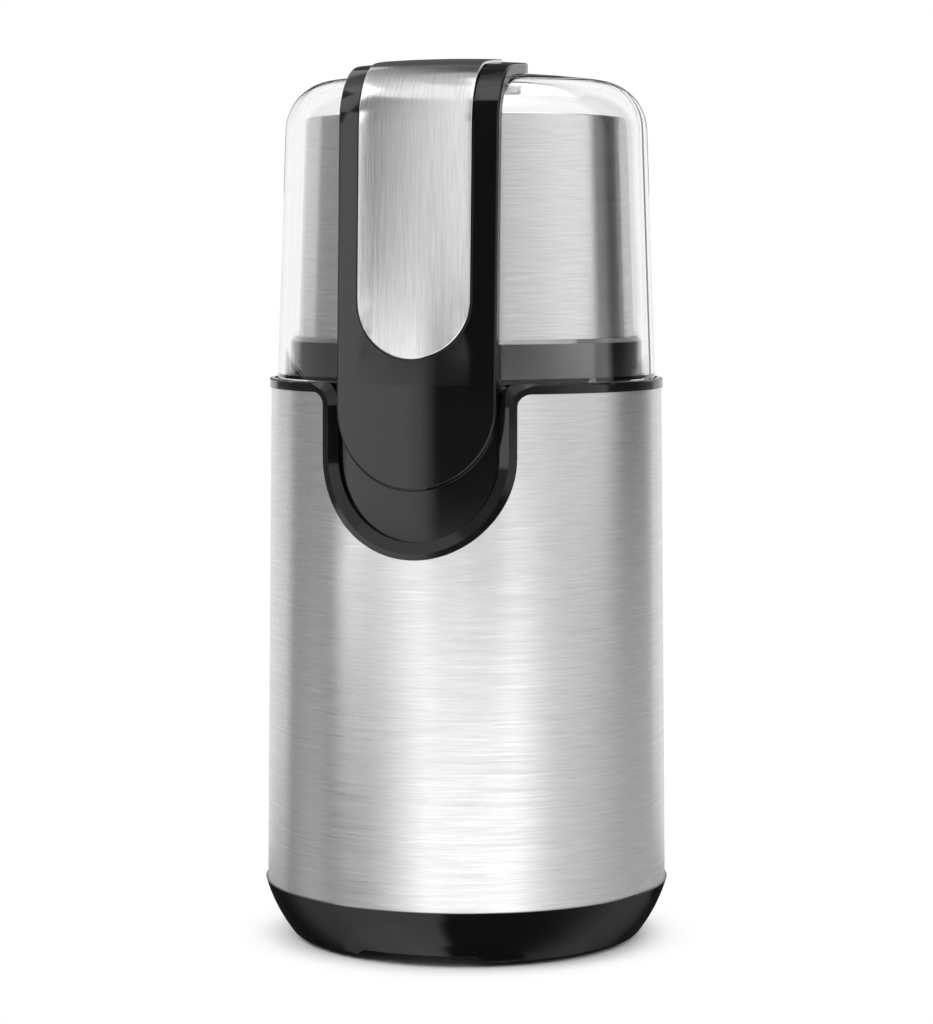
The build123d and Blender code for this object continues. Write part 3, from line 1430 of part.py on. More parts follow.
# Base: a conical skirt, a floor, a ring that locates the sleeve, the cord spool and the foot posts
spigot_r = sleeve_radius(base_rim_z + spigot_h) - sleeve_wall - seat_gap
spigot_in_r = spigot_r - spigot_t
skirt_h = base_rim_z - foot_drop
skirt_run = base_rim_r - base_foot_r
skirt_length = math.hypot(skirt_run, skirt_h)
skirt_mid_r = base_foot_r + skirt_run / 2 + base_bulge * skirt_h / skirt_length
skirt_mid_z = foot_drop + skirt_h / 2 - base_bulge * skirt_run / skirt_length
store_top_r = base_foot_r + skirt_run * (base_floor_z - foot_drop) / skirt_h - base_wall
spool_places = [
    polar(spool_screw_circle_r, 360 * index / spool_screw_count) for index in range(spool_screw_count)
]
with BuildPart() as base:
    with BuildSketch(Plane.XZ):
        with BuildLine():
            side = ThreePointArc(
                (base_foot_r, foot_drop), (skirt_mid_r, skirt_mid_z), (base_rim_r, base_rim_z)
            )
            Polyline(
                side @ 1,
                (spigot_r, base_rim_z),
                (spigot_r, base_rim_z + spigot_h),
                (spigot_in_r, base_rim_z + spigot_h),
                (spigot_in_r, base_floor_top),
                (0, base_floor_top),
                (0, base_floor_z),
                (store_top_r, base_floor_z),
                (base_foot_r - base_wall, foot_drop),
                side @ 0,
            )
        make_face()
    revolve(axis=Axis.Z)
    skirt_edges = base.edges().filter_by(GeomType.CIRCLE).group_by(Axis.Z)[0]
    fillet(skirt_edges.sort_by(SortBy.RADIUS)[-1], radius=base_edge_r)
    with BuildSketch(Plane.XY.offset(spool_top + seat_gap)):
        Circle(spool_r)
        Circle(spool_r - spool_wall, mode=Mode.SUBTRACT)
        with Locations(*spool_places):
            Circle(spool_boss_r)
    extrude(amount=base_floor_z - spool_top - seat_gap)
    with BuildSketch(Plane.XY.offset(foot_post_z)):
        with PolarLocations(foot_circle_r, foot_count, start_angle=foot_first_angle):
            Circle(foot_post_r)
    extrude(amount=base_floor_z - foot_post_z)
    with BuildSketch(Plane.XY.offset(foot_post_z)):
        with PolarLocations(foot_circle_r, foot_count, start_angle=foot_first_angle):
            Circle(foot_r + seat_gap)
    extrude(amount=foot_depth, mode=Mode.SUBTRACT)
    with BuildSketch(Plane.XZ.offset(base_foot_r - base_wall - overrun)):
        with BuildLine():
            Polyline(
                (-notch_half, 0),
                (-notch_half, foot_drop),
                (notch_slope - notch_half, foot_drop + notch_h),
                (notch_half - notch_slope, foot_drop + notch_h),
                (notch_half, foot_drop),
                (notch_half, 0),
                close=True,
            )
        make_face()
    extrude(amount=base_wall + 2 * overrun, mode=Mode.SUBTRACT)
    with BuildSketch(Plane.XY.offset(base_floor_z)):
        with PolarLocations(vent_circle_r, vent_count, start_angle=180 / vent_count):
            SlotOverall(vent_length, vent_width)
        with Locations((0, gland_y)):
            Circle(gland_neck_r)
        with Locations(*base_boss_places):
            Circle(screw_r + seat_gap)
    extrude(amount=base_floor_t, mode=Mode.SUBTRACT)
    with BuildSketch(Plane.XY.offset(spool_top)):
        with Locations(*spool_places):
            Circle(screw_r + seat_gap)
    extrude(amount=base_floor_z - spool_top, mode=Mode.SUBTRACT)
base.part.label = "base"
export_step(base.part, "parts/base.step")

# Plate that keeps a wound cord on the spool
with BuildPart() as spool_cap:
    with BuildSketch(Plane.XY.offset(spool_cap_z)):
        Circle(spool_cap_r)
    extrude(amount=spool_cap_t)
    fillet(spool_cap.edges().filter_by(GeomType.CIRCLE), radius=spool_cap_edge_r)
    with BuildSketch(Plane.XY.offset(spool_cap_z)):
        with PolarLocations(vent_circle_r, vent_count, start_angle=180 / vent_count):
            SlotOverall(vent_length, vent_width)
        with Locations(*spool_places):
            Circle(screw_r + seat_gap)
    extrude(amount=spool_cap_t, mode=Mode.SUBTRACT)
spool_cap.part.label = "spool_cap"
export_step(spool_cap.part, "parts/spool_cap.step")

spool_screw = pan_screw(screw_r, spool_screw_length, screw_head_r, screw_head_h)
with BuildPart() as spool_screws:
    with Locations(*[(x, y, spool_cap_z) for x, y in spool_places]):
        add(spool_screw, rotation=(180, 0, 0))
spool_screws.part.label = "spool_screws"
export_step(spool_screws.part, "parts/spool_screws.step")

# Screws up through the base's floor into the inner housing
base_screw = pan_screw(screw_r, base_screw_length, screw_head_r, screw_head_h)
with BuildPart() as base_screws:
    with Locations(*[(x, y, base_floor_z) for x, y in base_boss_places]):
        add(base_screw, rotation=(180, 0, 0))
base_screws.part.label = "base_screws"
export_step(base_screws.part, "parts/base_screws.step")

# Rubber feet
with BuildPart() as rubber_feet:
    with BuildSketch():
        with PolarLocations(foot_circle_r, foot_count, start_angle=foot_first_angle):
            Circle(foot_r)
    extrude(amount=foot_post_z + foot_depth)
    fillet(rubber_feet.edges().filter_by(GeomType.CIRCLE).group_by(Axis.Z)[0], radius=foot_edge_r)
rubber_feet.part.label = "rubber_feet"
export_step(rubber_feet.part, "parts/rubber_feet.step")

# Grommet that a cord comes in through
gland_low_z = base_floor_z - seat_gap - gland_flange_t
gland_high_z = base_floor_top + seat_gap + gland_flange_t
with BuildPart() as cord_gland:
    with Locations((0, gland_y, gland_low_z)):
        Cylinder(gland_flange_r, gland_flange_t, align=(Align.CENTER, Align.CENTER, Align.MIN))
    with Locations((0, gland_y, base_floor_top + seat_gap)):
        Cylinder(gland_flange_r, gland_flange_t, align=(Align.CENTER, Align.CENTER, Align.MIN))
    with BuildSketch(Plane.XY.offset(gland_low_z)):
        with Locations((0, gland_y)):
            Circle(gland_neck_r - seat_gap)
    extrude(amount=gland_high_z - gland_low_z)
    with Locations((0, gland_y, gland_high_z)):
        Hole(gland_bore_r, depth=gland_high_z - gland_low_z)
cord_gland.part.label = "cord_gland"
export_step(cord_gland.part, "parts/cord_gland.step")

# Wires from the inlet to the switch, from the switch to a coil, and from the inlet to a brush
wire_top = switch_z - terminal_h
coil_end_z = coil_mid_z - coil_inner_h / 2 - coil_end_h / 2
wire_routes = [
    [
        (-gland_wire_x, gland_y, gland_high_z),
        (-gland_wire_x, gland_y, gland_high_z + wire_lead),
        (-wire_x, wire_lane_y, gland_high_z + 2 * wire_lead),
        (-wire_x, wire_lane_y, wire_hole_z),
        (-wire_x, switch_mid_y, wire_hole_z),
        (-wire_x, switch_mid_y, wire_top),
    ],
    [
        (wire_x, switch_mid_y, wire_top),
        (wire_x, switch_mid_y, wire_hole_z),
        (wire_x, wire_lane_y, wire_hole_z),
        (wire_x, wire_lane_y, coil_end_z),
        (wire_x, coil_high_y, coil_end_z),
    ],
    [
        (gland_wire_x, gland_y, gland_high_z),
        (gland_wire_x, gland_y, brush_z),
        (gland_wire_x, holder_end_y, brush_z),
    ],
]
with BuildPart() as lead_wires:
    for route in wire_routes:
        with BuildLine() as wire_path:
            FilletPolyline(*route, radius=wire_bend_r)
        with BuildSketch(Plane(origin=wire_path.line @ 0, z_dir=wire_path.line % 0)):
            Circle(wire_r)
        sweep(path=wire_path.line)
lead_wires.part.label = "lead_wires"
export_step(lead_wires.part, "parts/lead_wires.step")
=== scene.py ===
import math

import bpy
from bpy.props import FloatProperty, FloatVectorProperty, IntProperty, PointerProperty
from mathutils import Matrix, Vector


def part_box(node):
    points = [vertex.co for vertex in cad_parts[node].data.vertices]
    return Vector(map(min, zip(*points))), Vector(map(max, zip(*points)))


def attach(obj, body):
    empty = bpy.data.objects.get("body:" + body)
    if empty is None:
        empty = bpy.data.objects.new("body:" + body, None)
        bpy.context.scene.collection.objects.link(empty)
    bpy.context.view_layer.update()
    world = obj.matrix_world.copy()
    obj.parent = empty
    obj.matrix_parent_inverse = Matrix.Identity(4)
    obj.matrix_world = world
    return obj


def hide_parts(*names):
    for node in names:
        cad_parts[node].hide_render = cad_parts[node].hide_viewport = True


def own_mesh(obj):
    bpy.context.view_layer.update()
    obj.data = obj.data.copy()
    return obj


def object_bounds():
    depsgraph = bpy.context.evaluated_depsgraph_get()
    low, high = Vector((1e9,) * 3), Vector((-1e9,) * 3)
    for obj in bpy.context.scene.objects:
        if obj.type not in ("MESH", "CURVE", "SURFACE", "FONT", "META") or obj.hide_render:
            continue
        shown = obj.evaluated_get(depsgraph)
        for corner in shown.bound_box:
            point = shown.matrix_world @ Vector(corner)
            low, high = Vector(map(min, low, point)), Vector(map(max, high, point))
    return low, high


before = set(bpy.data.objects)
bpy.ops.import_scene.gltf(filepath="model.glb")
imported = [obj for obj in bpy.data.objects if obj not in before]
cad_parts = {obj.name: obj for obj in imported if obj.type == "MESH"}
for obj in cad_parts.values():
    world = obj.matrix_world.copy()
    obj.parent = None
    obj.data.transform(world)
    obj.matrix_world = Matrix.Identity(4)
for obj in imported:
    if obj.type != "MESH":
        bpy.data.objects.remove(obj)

bl_info = {
    "name": "Coffee Grinder Dresser",
    "version": (1, 0, 0),
    "blender": (4, 5, 0),
    "location": "View3D > Sidebar > Grinder",
    "description": "Finishes a blade coffee grinder around its fixed frame and sets its studio",
    "category": "Object",
}

cad_low, cad_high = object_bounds()

# Most values of a noise lie between these two
NOISE_LOW, NOISE_HIGH = 0.3, 0.7

# An edge sharper than this isn't smoothed
CREASE = math.radians(40.0)

# Faces round a spring's wire, and along each of its turns
WIRE_SIDES, WIRE_STEPS = 10, 28

# Faces round a reflecting panel
PANEL_STEPS = 96

# Width of the camera's sensor in millimetres
SENSOR_WIDTH = 36.0

# Rays that show the studio as white
SEEN_RAYS = ("Is Camera Ray", "Is Glossy Ray", "Is Transmission Ray")

# Share of open sky at which the floor's contact shadow is deepest, and at which it ends
SHADOW_DEEP, SHADOW_END = 0.2, 0.7

# Lamps: name, place and side in metres, power in watts
LAMPS = (
    ("key_lamp", (-0.75, -0.8, 0.95), 0.7, 9.0),
    ("fill_lamp", (0.9, -0.6, 0.7), 0.8, 6.0),
    ("top_lamp", (0.1, 0.3, 1.3), 0.9, 9.0),
)

# Stops of the reflecting panels: an azimuth in degrees and the brightness there. Several tiers share these.
BOWL_SIDE = ((80.0, 1.15), (108.0, 1.2), (114.0, 0.05), (141.0, 0.05), (147.0, 0.9), (151.0, 1.0))
MARGIN_LIGHT = ((20.0, 1.35), (26.0, 2.8), (60.0, 2.6), (100.0, 1.0), (180.0, 0.4))
STRAP_EDGE = ((-60.0, 2.3), (-20.0, 2.3), (-10.0, 1.8), (-1.0, 0.01))

# Tiers of panels from the top down: name, foot in metres above the floor, stops round the grinder.
# Each tier reaches up to the foot of the one before it, and the last goes as far down as the first goes up.
TIERS = (
    (
        "ceiling_panel",
        3.2,
        (
            (-180.0, 0.6),
            (-60.0, 0.8),
            (20.0, 0.9),
            (45.0, 2.2),
            (90.0, 2.0),
            (150.0, 1.0),
            (180.0, 0.6),
        ),
    ),
    (
        "top_panel",
        1.5,
        (
            (-180.0, 0.1),
            (-165.0, 0.12),
            (-153.0, 0.21),
            (-145.0, 0.31),
            (-125.0, 0.5),
            (-100.0, 0.7),
            (-60.0, 1.05),
            (-30.0, 1.35),
            *MARGIN_LIGHT,
        ),
    ),
    (
        "strap_bend_panel",
        1.1,
        (
            (-180.0, 0.1),
            (-150.0, 0.25),
            (-125.0, 0.6),
            (-105.0, 1.2),
            (-92.0, 2.2),
            (-66.0, 2.4),
            (-58.0, 1.3),
            *MARGIN_LIGHT,
        ),
    ),
    (
        "strap_shoulder_panel",
        0.55,
        (
            (-106.0, 0.4),
            (-80.0, 0.38),
            (-78.0, 2.3),
            (-61.0, 2.3),
            (-59.5, 0.3),
            (-46.0, 0.35),
            (-15.0, 0.82),
            (17.5, 1.35),
            (18.5, 0.01),
            (39.0, 0.01),
            (40.0, 0.8),
            *BOWL_SIDE,
        ),
    ),
    (
        "strap_side_panel",
        0.178,
        (
            (-106.0, 0.4),
            (-62.0, 0.36),
            (-61.0, 2.3),
            (-47.0, 2.3),
            (-46.0, 0.28),
            (-15.0, 0.82),
            (16.0, 1.35),
            (17.0, 0.01),
            (35.0, 0.01),
            (36.0, 0.8),
            *BOWL_SIDE,
        ),
    ),
    (
        "inlay_end_panel",
        0.135,
        (
            (-106.0, 0.4),
            (-64.0, 0.36),
            (-60.0, 2.3),
            (-40.0, 2.3),
            (-10.0, 1.8),
            (-1.0, 0.01),
            (35.0, 0.01),
            (36.0, 0.8),
            *BOWL_SIDE,
        ),
    ),
    (
        "ring_panel",
        0.1,
        (
            (-180.0, 1.0),
            (-130.0, 1.0),
            (-124.0, 0.02),
            (-106.0, 0.08),
            (-64.0, 0.22),
            *STRAP_EDGE,
            (46.0, 0.01),
            (60.0, 0.3),
            (80.0, 1.2),
            (101.0, 1.6),
            (104.0, 0.01),
            (128.0, 0.01),
            (140.0, 0.2),
            (150.0, 0.3),
            (156.0, 1.0),
            (180.0, 1.0),
        ),
    ),
    (
        "strap_end_panel",
        0.02,
        (
            (-106.0, 0.4),
            (-64.0, 0.4),
            *STRAP_EDGE,
            (36.0, 0.01),
            (38.0, 1.3),
            (50.0, 1.1),
            (70.0, 0.75),
            (100.0, 0.5),
            (120.0, 0.45),
            (144.0, 0.45),
            (151.0, 0.6),
        ),
    ),
    (
        "lower_panel",
        -0.35,
        (
            (-106.0, 0.32),
            (-95.0, 0.5),
            (-78.0, 0.62),
            (-62.0, 0.2),
            (-45.0, 0.2),
            (-30.0, 0.6),
            (-15.0, 1.4),
            (-5.0, 2.2),
            (32.0, 2.6),
            (45.0, 2.2),
            (58.0, 1.45),
            (70.0, 1.05),
            (100.0, 0.68),
            (120.0, 0.62),
            (144.0, 0.6),
            (151.0, 0.7),
        ),
    ),
    (
        "base_side_panel",
        -1.0,
        (
            (-180.0, 0.02),
            (-124.0, 0.02),
            (-112.0, 0.1),
            (-98.0, 0.38),
            (-82.0, 0.6),
            (-66.0, 0.93),
            (-46.0, 1.2),
            (-5.0, 1.25),
            (3.0, 0.02),
            (62.0, 0.03),
            (85.0, 0.15),
            (105.0, 0.4),
            (120.0, 0.5),
            (140.0, 0.3),
            (162.0, 0.03),
            (180.0, 0.02),
        ),
    ),
    (
        "base_foot_panel",
        -2.5,
        (
            (-180.0, 0.02),
            (-135.0, 0.04),
            (-120.0, 0.12),
            (-105.0, 0.4),
            (-90.0, 0.6),
            (-75.0, 0.93),
            (-60.0, 1.1),
            (-44.0, 1.3),
            (-8.0, 1.25),
            (0.0, 0.02),
            (70.0, 0.03),
            (90.0, 0.15),
            (108.0, 0.38),
            (123.0, 0.5),
            (141.0, 0.36),
            (165.0, 0.05),
            (180.0, 0.02),
        ),
    ),
    (
        "base_edge_panel",
        -math.inf,
        (
            (-180.0, 0.05),
            (-150.0, 0.2),
            (-130.0, 0.5),
            (-110.0, 0.8),
            (-80.0, 1.1),
            (-30.0, 1.3),
            (-20.0, 1.2),
            (-10.0, 0.02),
            (100.0, 0.03),
            (125.0, 0.2),
            (145.0, 0.45),
            (165.0, 0.4),
            (180.0, 0.2),
        ),
    ),
)

# Panels behind the grinder that aren't seen through the dome: name, foot and head in metres, stops
BACK_PANELS = (
    ("crest_panel", 0.2, 1.1, ((-179.0, 0.08), (-150.0, 0.12))),
    ("base_end_panel", -0.35, -0.155, ((151.0, 0.02), (254.0, 0.02))),
)


def colour(name, description, default):
    """A colour that a user can change."""
    return FloatVectorProperty(
        name=name, description=description, default=default, size=3, min=0.0, max=1.0, subtype="COLOR"
    )


def share(name, description, default):
    """A number from 0 to 1 that a user can change."""
    return FloatProperty(
        name=name, description=description, default=default, min=0.0, max=1.0, subtype="FACTOR"
    )


def length(name, description, default):
    """A length in metres that a user can change."""
    return FloatProperty(name=name, description=description, default=default, unit="LENGTH", precision=5)


def angle(name, description, default):
    """An angle, written in degrees, that a user can change."""
    return FloatProperty(
        name=name, description=description, default=math.radians(default), subtype="ANGLE"
    )


class GrinderFinishes(bpy.types.PropertyGroup):
    """Colours and gloss of the grinder's materials."""

    steel: colour("Steel", "Colour of the brushed steel", (0.62, 0.62, 0.615))
    steel_gloss: share("Steel roughness", "Roughness of the brushed sleeve", 0.3)
    bowl_steel: colour("Bowl steel", "Colour of the bowl's steel", (0.66, 0.66, 0.655))
    bowl_gloss: share("Bowl roughness", "Roughness of the bowl", 0.22)
    inlay_gloss: share("Inlay roughness", "Roughness of the inlay", 0.16)
    black: colour("Black plastic", "Colour of the black mouldings", (0.0045, 0.0045, 0.005))
    black_gloss: share("Black roughness", "Roughness of the black mouldings", 0.1)
    ring: colour("Ring plastic", "Colour of the ring under the bowl", (0.004, 0.004, 0.0042))
    clear: colour("Clear plastic", "Tint of the clear dome", (0.965, 0.968, 0.968))
    rubber: colour("Rubber", "Colour of the feet and the grommet", (0.018, 0.018, 0.018))
    copper: colour("Copper", "Colour of the windings", (0.5, 0.2, 0.08))
    bronze: colour("Bronze", "Colour of the bearings and the bush", (0.42, 0.28, 0.12))
    nylon: colour("Nylon", "Colour of the couplers, the fan and the pins", (0.72, 0.71, 0.66))
    zinc: colour("Zinc", "Colour of the screws and bolts", (0.5, 0.5, 0.49))
    spring: colour("Spring steel", "Colour of the springs' wire", (0.45, 0.45, 0.45))
    core: colour("Core sheets", "Colour of the motor's iron cores", (0.2, 0.2, 0.21))
    sheet: colour("Sheet steel", "Colour of the motor plate", (0.48, 0.49, 0.5))
    alloy: colour("Cast alloy", "Colour of the lower bracket", (0.5, 0.5, 0.51))
    brass: colour("Brass", "Colour of the brush holders", (0.6, 0.45, 0.2))
    carbon: colour("Carbon", "Colour of the brushes", (0.02, 0.02, 0.02))
    board: colour("Board", "Colour of the brush plate", (0.16, 0.08, 0.04))
    button: colour("Button", "Colour of the switch's button", (0.42, 0.02, 0.015))
    housing: colour("Housing", "Colour of the inner housing", (0.09, 0.09, 0.095))
    wire_cover: colour("Wire cover", "Colour of the lead wires", (0.02, 0.02, 0.12))


class GrinderSizes(bpy.types.PropertyGroup):
    """Sizes of the surface detail and of the springs."""

    streak_length: length("Streak length", "Length of a brush mark round the sleeve", 0.009)
    streak_width: length("Streak width", "Width of a brush mark", 0.0002)
    winding_turn: length("Winding turn", "Height of one turn of the motor's windings", 0.0006)
    spring_wire: length("Spring wire", "Radius of the wire of a lift spring", 0.0002)
    spring_turns: IntProperty(
        name="Spring turns", description="Turns of a lift spring", default=5, min=2, max=12
    )


class GrinderStage(bpy.types.PropertyGroup):
    """Camera, floor, world and reflecting panels."""

    camera_azimuth: angle("Camera azimuth", "Camera's place round the grinder, from its front", 15.3)
    camera_distance: length("Camera distance", "From the axis, along the floor", 0.764)
    camera_height: length("Camera height", "Above the floor", 0.16515)
    camera_tilt: angle("Camera tilt", "How far the camera looks down", 4.647)
    camera_lens: FloatProperty(
        name="Lens", description="Focal length in millimetres", default=110.74, subtype="DISTANCE_CAMERA"
    )
    floor: colour("Floor", "Colour of the floor", (0.86, 0.86, 0.86))
    floor_half: length("Floor size", "Half the floor's width", 6.0)
    floor_shadow: length("Floor shadow", "How far the contact shadow reaches round the grinder", 0.03)
    ambient: share("Ambient", "Strength of the world's light on the grinder", 0.42)
    tent_radius: length("Tent radius", "Radius of the panels that the metal mirrors", 0.9)
    tent_height: length("Tent height", "How far those panels reach up and down", 30.0)


# Materials


class Finish:
    """A material under construction: one Principled shader and the nodes that feed it."""

    def __init__(self, name, base, roughness, metallic=0.0, specular=0.5):
        self.material = bpy.data.materials.new(name)
        self.material.use_nodes = True
        self.tree = self.material.node_tree
        self.shader = self.tree.nodes["Principled BSDF"]
        self.set("Base Color", (*base, 1.0))
        self.set("Roughness", roughness)
        self.set("Metallic", metallic)
        self.set("Specular IOR Level", specular)

    def set(self, socket, value):
        """Put a constant on one of the shader's own sockets."""
        self.shader.inputs[socket].default_value = value

    def add(self, kind, **settings):
        """A new node with its settings."""
        node = self.tree.nodes.new(kind)
        for key, value in settings.items():
            setattr(node, key, value)
        return node

    def link(self, source, target):
        """Join two sockets."""
        self.tree.links.new(source, target)

    def noise(self, cell, detail, roughness=0.55):
        """Noise whose cells measure cell, three lengths in metres."""
        place = self.add("ShaderNodeTexCoord")
        stretch = self.add("ShaderNodeMapping")
        stretch.inputs["Scale"].default_value = [1.0 / side for side in cell]
        noise = self.add("ShaderNodeTexNoise")
        noise.inputs["Scale"].default_value = 1.0
        noise.inputs["Detail"].default_value = detail
        noise.inputs["Roughness"].default_value = roughness
        self.link(place.outputs["Object"], stretch.inputs["Vector"])
        self.link(stretch.outputs["Vector"], noise.inputs["Vector"])
        return noise.outputs["Fac"]

    def even_noise(self, cell, detail):
        """Noise whose cells measure the same each way."""
        return self.noise((cell, cell, cell), detail)

    def shade(self, factor, dark, light):
        """Vary the base colour from dark to light times itself."""
        base = list(self.shader.inputs["Base Color"].default_value)[:3]
        ramp = self.add("ShaderNodeValToRGB")
        stops = ((NOISE_LOW, dark), (NOISE_HIGH, light))
        for element, (position, times) in zip(ramp.color_ramp.elements, stops):
            element.position = position
            element.color = [min(1.0, part * times) for part in base] + [1.0]
        self.link(factor, ramp.inputs["Fac"])
        self.link(ramp.outputs["Color"], self.shader.inputs["Base Color"])

    def gloss(self, factor, low, high):
        """Vary the roughness from low to high."""
        node = self.add("ShaderNodeMapRange")
        node.inputs["From Min"].default_value = NOISE_LOW
        node.inputs["From Max"].default_value = NOISE_HIGH
        node.inputs["To Min"].default_value = low
        node.inputs["To Max"].default_value = high
        self.link(factor, node.inputs["Value"])
        self.link(node.outputs["Result"], self.shader.inputs["Roughness"])

    def relief(self, factor, depth, strength):
        """Raise the surface by depth metres where the factor is high."""
        bump = self.add("ShaderNodeBump")
        bump.inputs["Distance"].default_value = depth
        bump.inputs["Strength"].default_value = strength
        self.link(factor, bump.inputs["Height"])
        self.link(bump.outputs["Normal"], self.shader.inputs["Normal"])


def brushed_steel(name, base, roughness, cell, spread):
    """Steel with brush marks. Its gloss spreads up and down by a share."""
    finish = Finish(name, base, roughness, metallic=1.0)
    marks = finish.noise(cell, detail=4.0, roughness=0.65)
    broad = finish.noise([3.0 * side for side in cell], detail=2.0)
    finish.shade(marks, dark=0.86, light=1.1)
    finish.gloss(broad, low=0.88 * roughness, high=1.12 * roughness)
    finish.relief(marks, depth=0.0000032, strength=0.6)
    finish.set("Anisotropic", spread)
    finish.set("Anisotropic Rotation", 0.25)
    tangent = finish.add("ShaderNodeTangent", direction_type="RADIAL", axis="Z")
    finish.link(tangent.outputs["Tangent"], finish.shader.inputs["Tangent"])
    return finish.material


def moulded_plastic(name, base, roughness, specular=0.35):
    """A moulded plastic with a faint orange-peel skin."""
    finish = Finish(name, base, roughness, specular=specular)
    skin = finish.even_noise(0.0004, detail=2.0)
    cloud = finish.even_noise(0.02, detail=2.0)
    finish.shade(cloud, dark=0.85, light=1.15)
    finish.gloss(cloud, low=0.9 * roughness, high=1.1 * roughness)
    finish.relief(skin, depth=0.000003, strength=0.4)
    return finish.material


def clear_plastic(name, base):
    """Clear moulded plastic with the faint haze of handling."""
    finish = Finish(name, base, roughness=0.0)
    finish.set("IOR", 1.49)
    finish.set("Transmission Weight", 1.0)
    haze = finish.noise((0.012, 0.012, 0.03), detail=4.0)
    finish.gloss(haze, low=0.0, high=0.012)
    return finish.material


def plain_metal(name, base, roughness):
    """Turned or pressed metal with small marks."""
    finish = Finish(name, base, roughness, metallic=1.0)
    marks = finish.even_noise(0.0006, detail=4.0)
    finish.shade(marks, dark=0.92, light=1.06)
    finish.gloss(marks, low=0.85 * roughness, high=1.2 * roughness)
    finish.relief(marks, depth=0.0000012, strength=0.5)
    return finish.material


def soft_rubber(name, base):
    """Matt rubber."""
    finish = Finish(name, base, roughness=0.75, specular=0.3)
    skin = finish.even_noise(0.0005, detail=4.0)
    finish.shade(skin, dark=0.75, light=1.25)
    finish.gloss(skin, low=0.65, high=0.85)
    finish.relief(skin, depth=0.00002, strength=0.5)
    return finish.material


def wound_wire(name, base, turn):
    """Enamelled wire wound side by side up the height."""
    finish = Finish(name, base, roughness=0.35, metallic=1.0)
    place = finish.add("ShaderNodeTexCoord")
    waves = finish.add("ShaderNodeTexWave", wave_type="BANDS", bands_direction="Z")
    # A wave of this node is pi / 10 long at a scale of 1
    waves.inputs["Scale"].default_value = math.pi / (10.0 * turn)
    waves.inputs["Distortion"].default_value = 0.4
    finish.link(place.outputs["Object"], waves.inputs["Vector"])
    # Painted shade and painted highlight: the colour darkens in the grooves between turns and lightens on
    # their crests, in step with the relief
    finish.shade(waves.outputs["Fac"], dark=0.55, light=1.15)
    finish.relief(waves.outputs["Fac"], depth=turn / 4.0, strength=0.7)
    return finish.material


# Meshes


def dress(material, *nodes):
    """Give a material to solids of the frame."""
    for node in nodes:
        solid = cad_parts[node]
        if not solid.material_slots:
            solid.data.materials.append(material)
        for slot in solid.material_slots:
            slot.material = material


def new_piece(name, points, faces, material):
    """A smooth mesh object from points and faces, with its sharp edges kept."""
    mesh = bpy.data.meshes.new(name)
    mesh.from_pydata(points, [], faces)
    mesh.validate()
    mesh.shade_smooth()
    mesh.set_sharp_from_angle(angle=CREASE)
    mesh.materials.append(material)
    piece = bpy.data.objects.new(name, mesh)
    bpy.context.scene.collection.objects.link(piece)
    return piece


def coil_spring(centre, foot, head, coil, wire, turns):
    """Points and faces of a wound wire round an upright axis, from its foot to its head."""
    steps = WIRE_STEPS * turns
    rise = (head - foot - 2.0 * wire) / (math.tau * turns)
    points, faces = [], []
    for step in range(steps + 1):
        turn = math.tau * turns * step / steps
        out = Vector((math.cos(turn), math.sin(turn), 0.0))
        along = Vector((-coil * math.sin(turn), coil * math.cos(turn), rise)).normalized()
        across = along.cross(out)
        middle = centre + coil * out + Vector((0.0, 0.0, foot + wire + rise * turn))
        for side in range(WIRE_SIDES):
            round_wire = math.tau * side / WIRE_SIDES
            points.append(middle + wire * (math.cos(round_wire) * out + math.sin(round_wire) * across))
    for step in range(steps):
        here, ahead = step * WIRE_SIDES, (step + 1) * WIRE_SIDES
        for side in range(WIRE_SIDES):
            beside = (side + 1) % WIRE_SIDES
            faces.append((here + side, here + beside, ahead + beside, ahead + side))
    faces.append(tuple(reversed(range(WIRE_SIDES))))
    faces.append(tuple(range(steps * WIRE_SIDES, (steps + 1) * WIRE_SIDES)))
    return points, faces


# Pieces


class GrinderOperator:
    """What the grinder's operators share."""

    bl_options = {"REGISTER", "UNDO"}

    @staticmethod
    def settings(context):
        """The finishes and the sizes that the user set."""
        return context.scene.grinder_finishes, context.scene.grinder_sizes


class GRINDER_OT_sleeve(GrinderOperator, bpy.types.Operator):
    """Brush the steel sleeve round the body"""

    bl_idname = "grinder.sleeve"
    bl_label = "Body sleeve"

    def execute(self, context):
        finishes, sizes = self.settings(context)
        cell = (sizes.streak_length, sizes.streak_length, sizes.streak_width)
        steel = brushed_steel("sleeve_steel", finishes.steel, finishes.steel_gloss, cell, spread=0.6)
        dress(steel, "body_sleeve")
        return {"FINISHED"}


class GRINDER_OT_mouldings(GrinderOperator, bpy.types.Operator):
    """Finish the black mouldings: base, collar, strap, spool cap and switch"""

    bl_idname = "grinder.mouldings"
    bl_label = "Black mouldings"

    def execute(self, context):
        finishes, _ = self.settings(context)
        black = moulded_plastic("black_moulding", finishes.black, finishes.black_gloss)
        dress(black, "base", "top_collar", "lid_strap", "spool_cap", "microswitch")
        return {"FINISHED"}


class GRINDER_OT_dome(GrinderOperator, bpy.types.Operator):
    """Make the dome clear"""

    bl_idname = "grinder.dome"
    bl_label = "Clear dome"

    def execute(self, context):
        finishes, _ = self.settings(context)
        dress(clear_plastic("clear_dome", finishes.clear), "lid_dome")
        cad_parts["lid_dome"].visible_shadow = False
        return {"FINISHED"}


class GRINDER_OT_inlay(GrinderOperator, bpy.types.Operator):
    """Brush the steel inlay along the strap"""

    bl_idname = "grinder.inlay"
    bl_label = "Strap inlay"

    def execute(self, context):
        finishes, sizes = self.settings(context)
        cell = (sizes.streak_width, sizes.streak_length, sizes.streak_length)
        steel = brushed_steel("inlay_steel", finishes.steel, finishes.inlay_gloss, cell, spread=0.2)
        dress(steel, "strap_inlay")
        return {"FINISHED"}


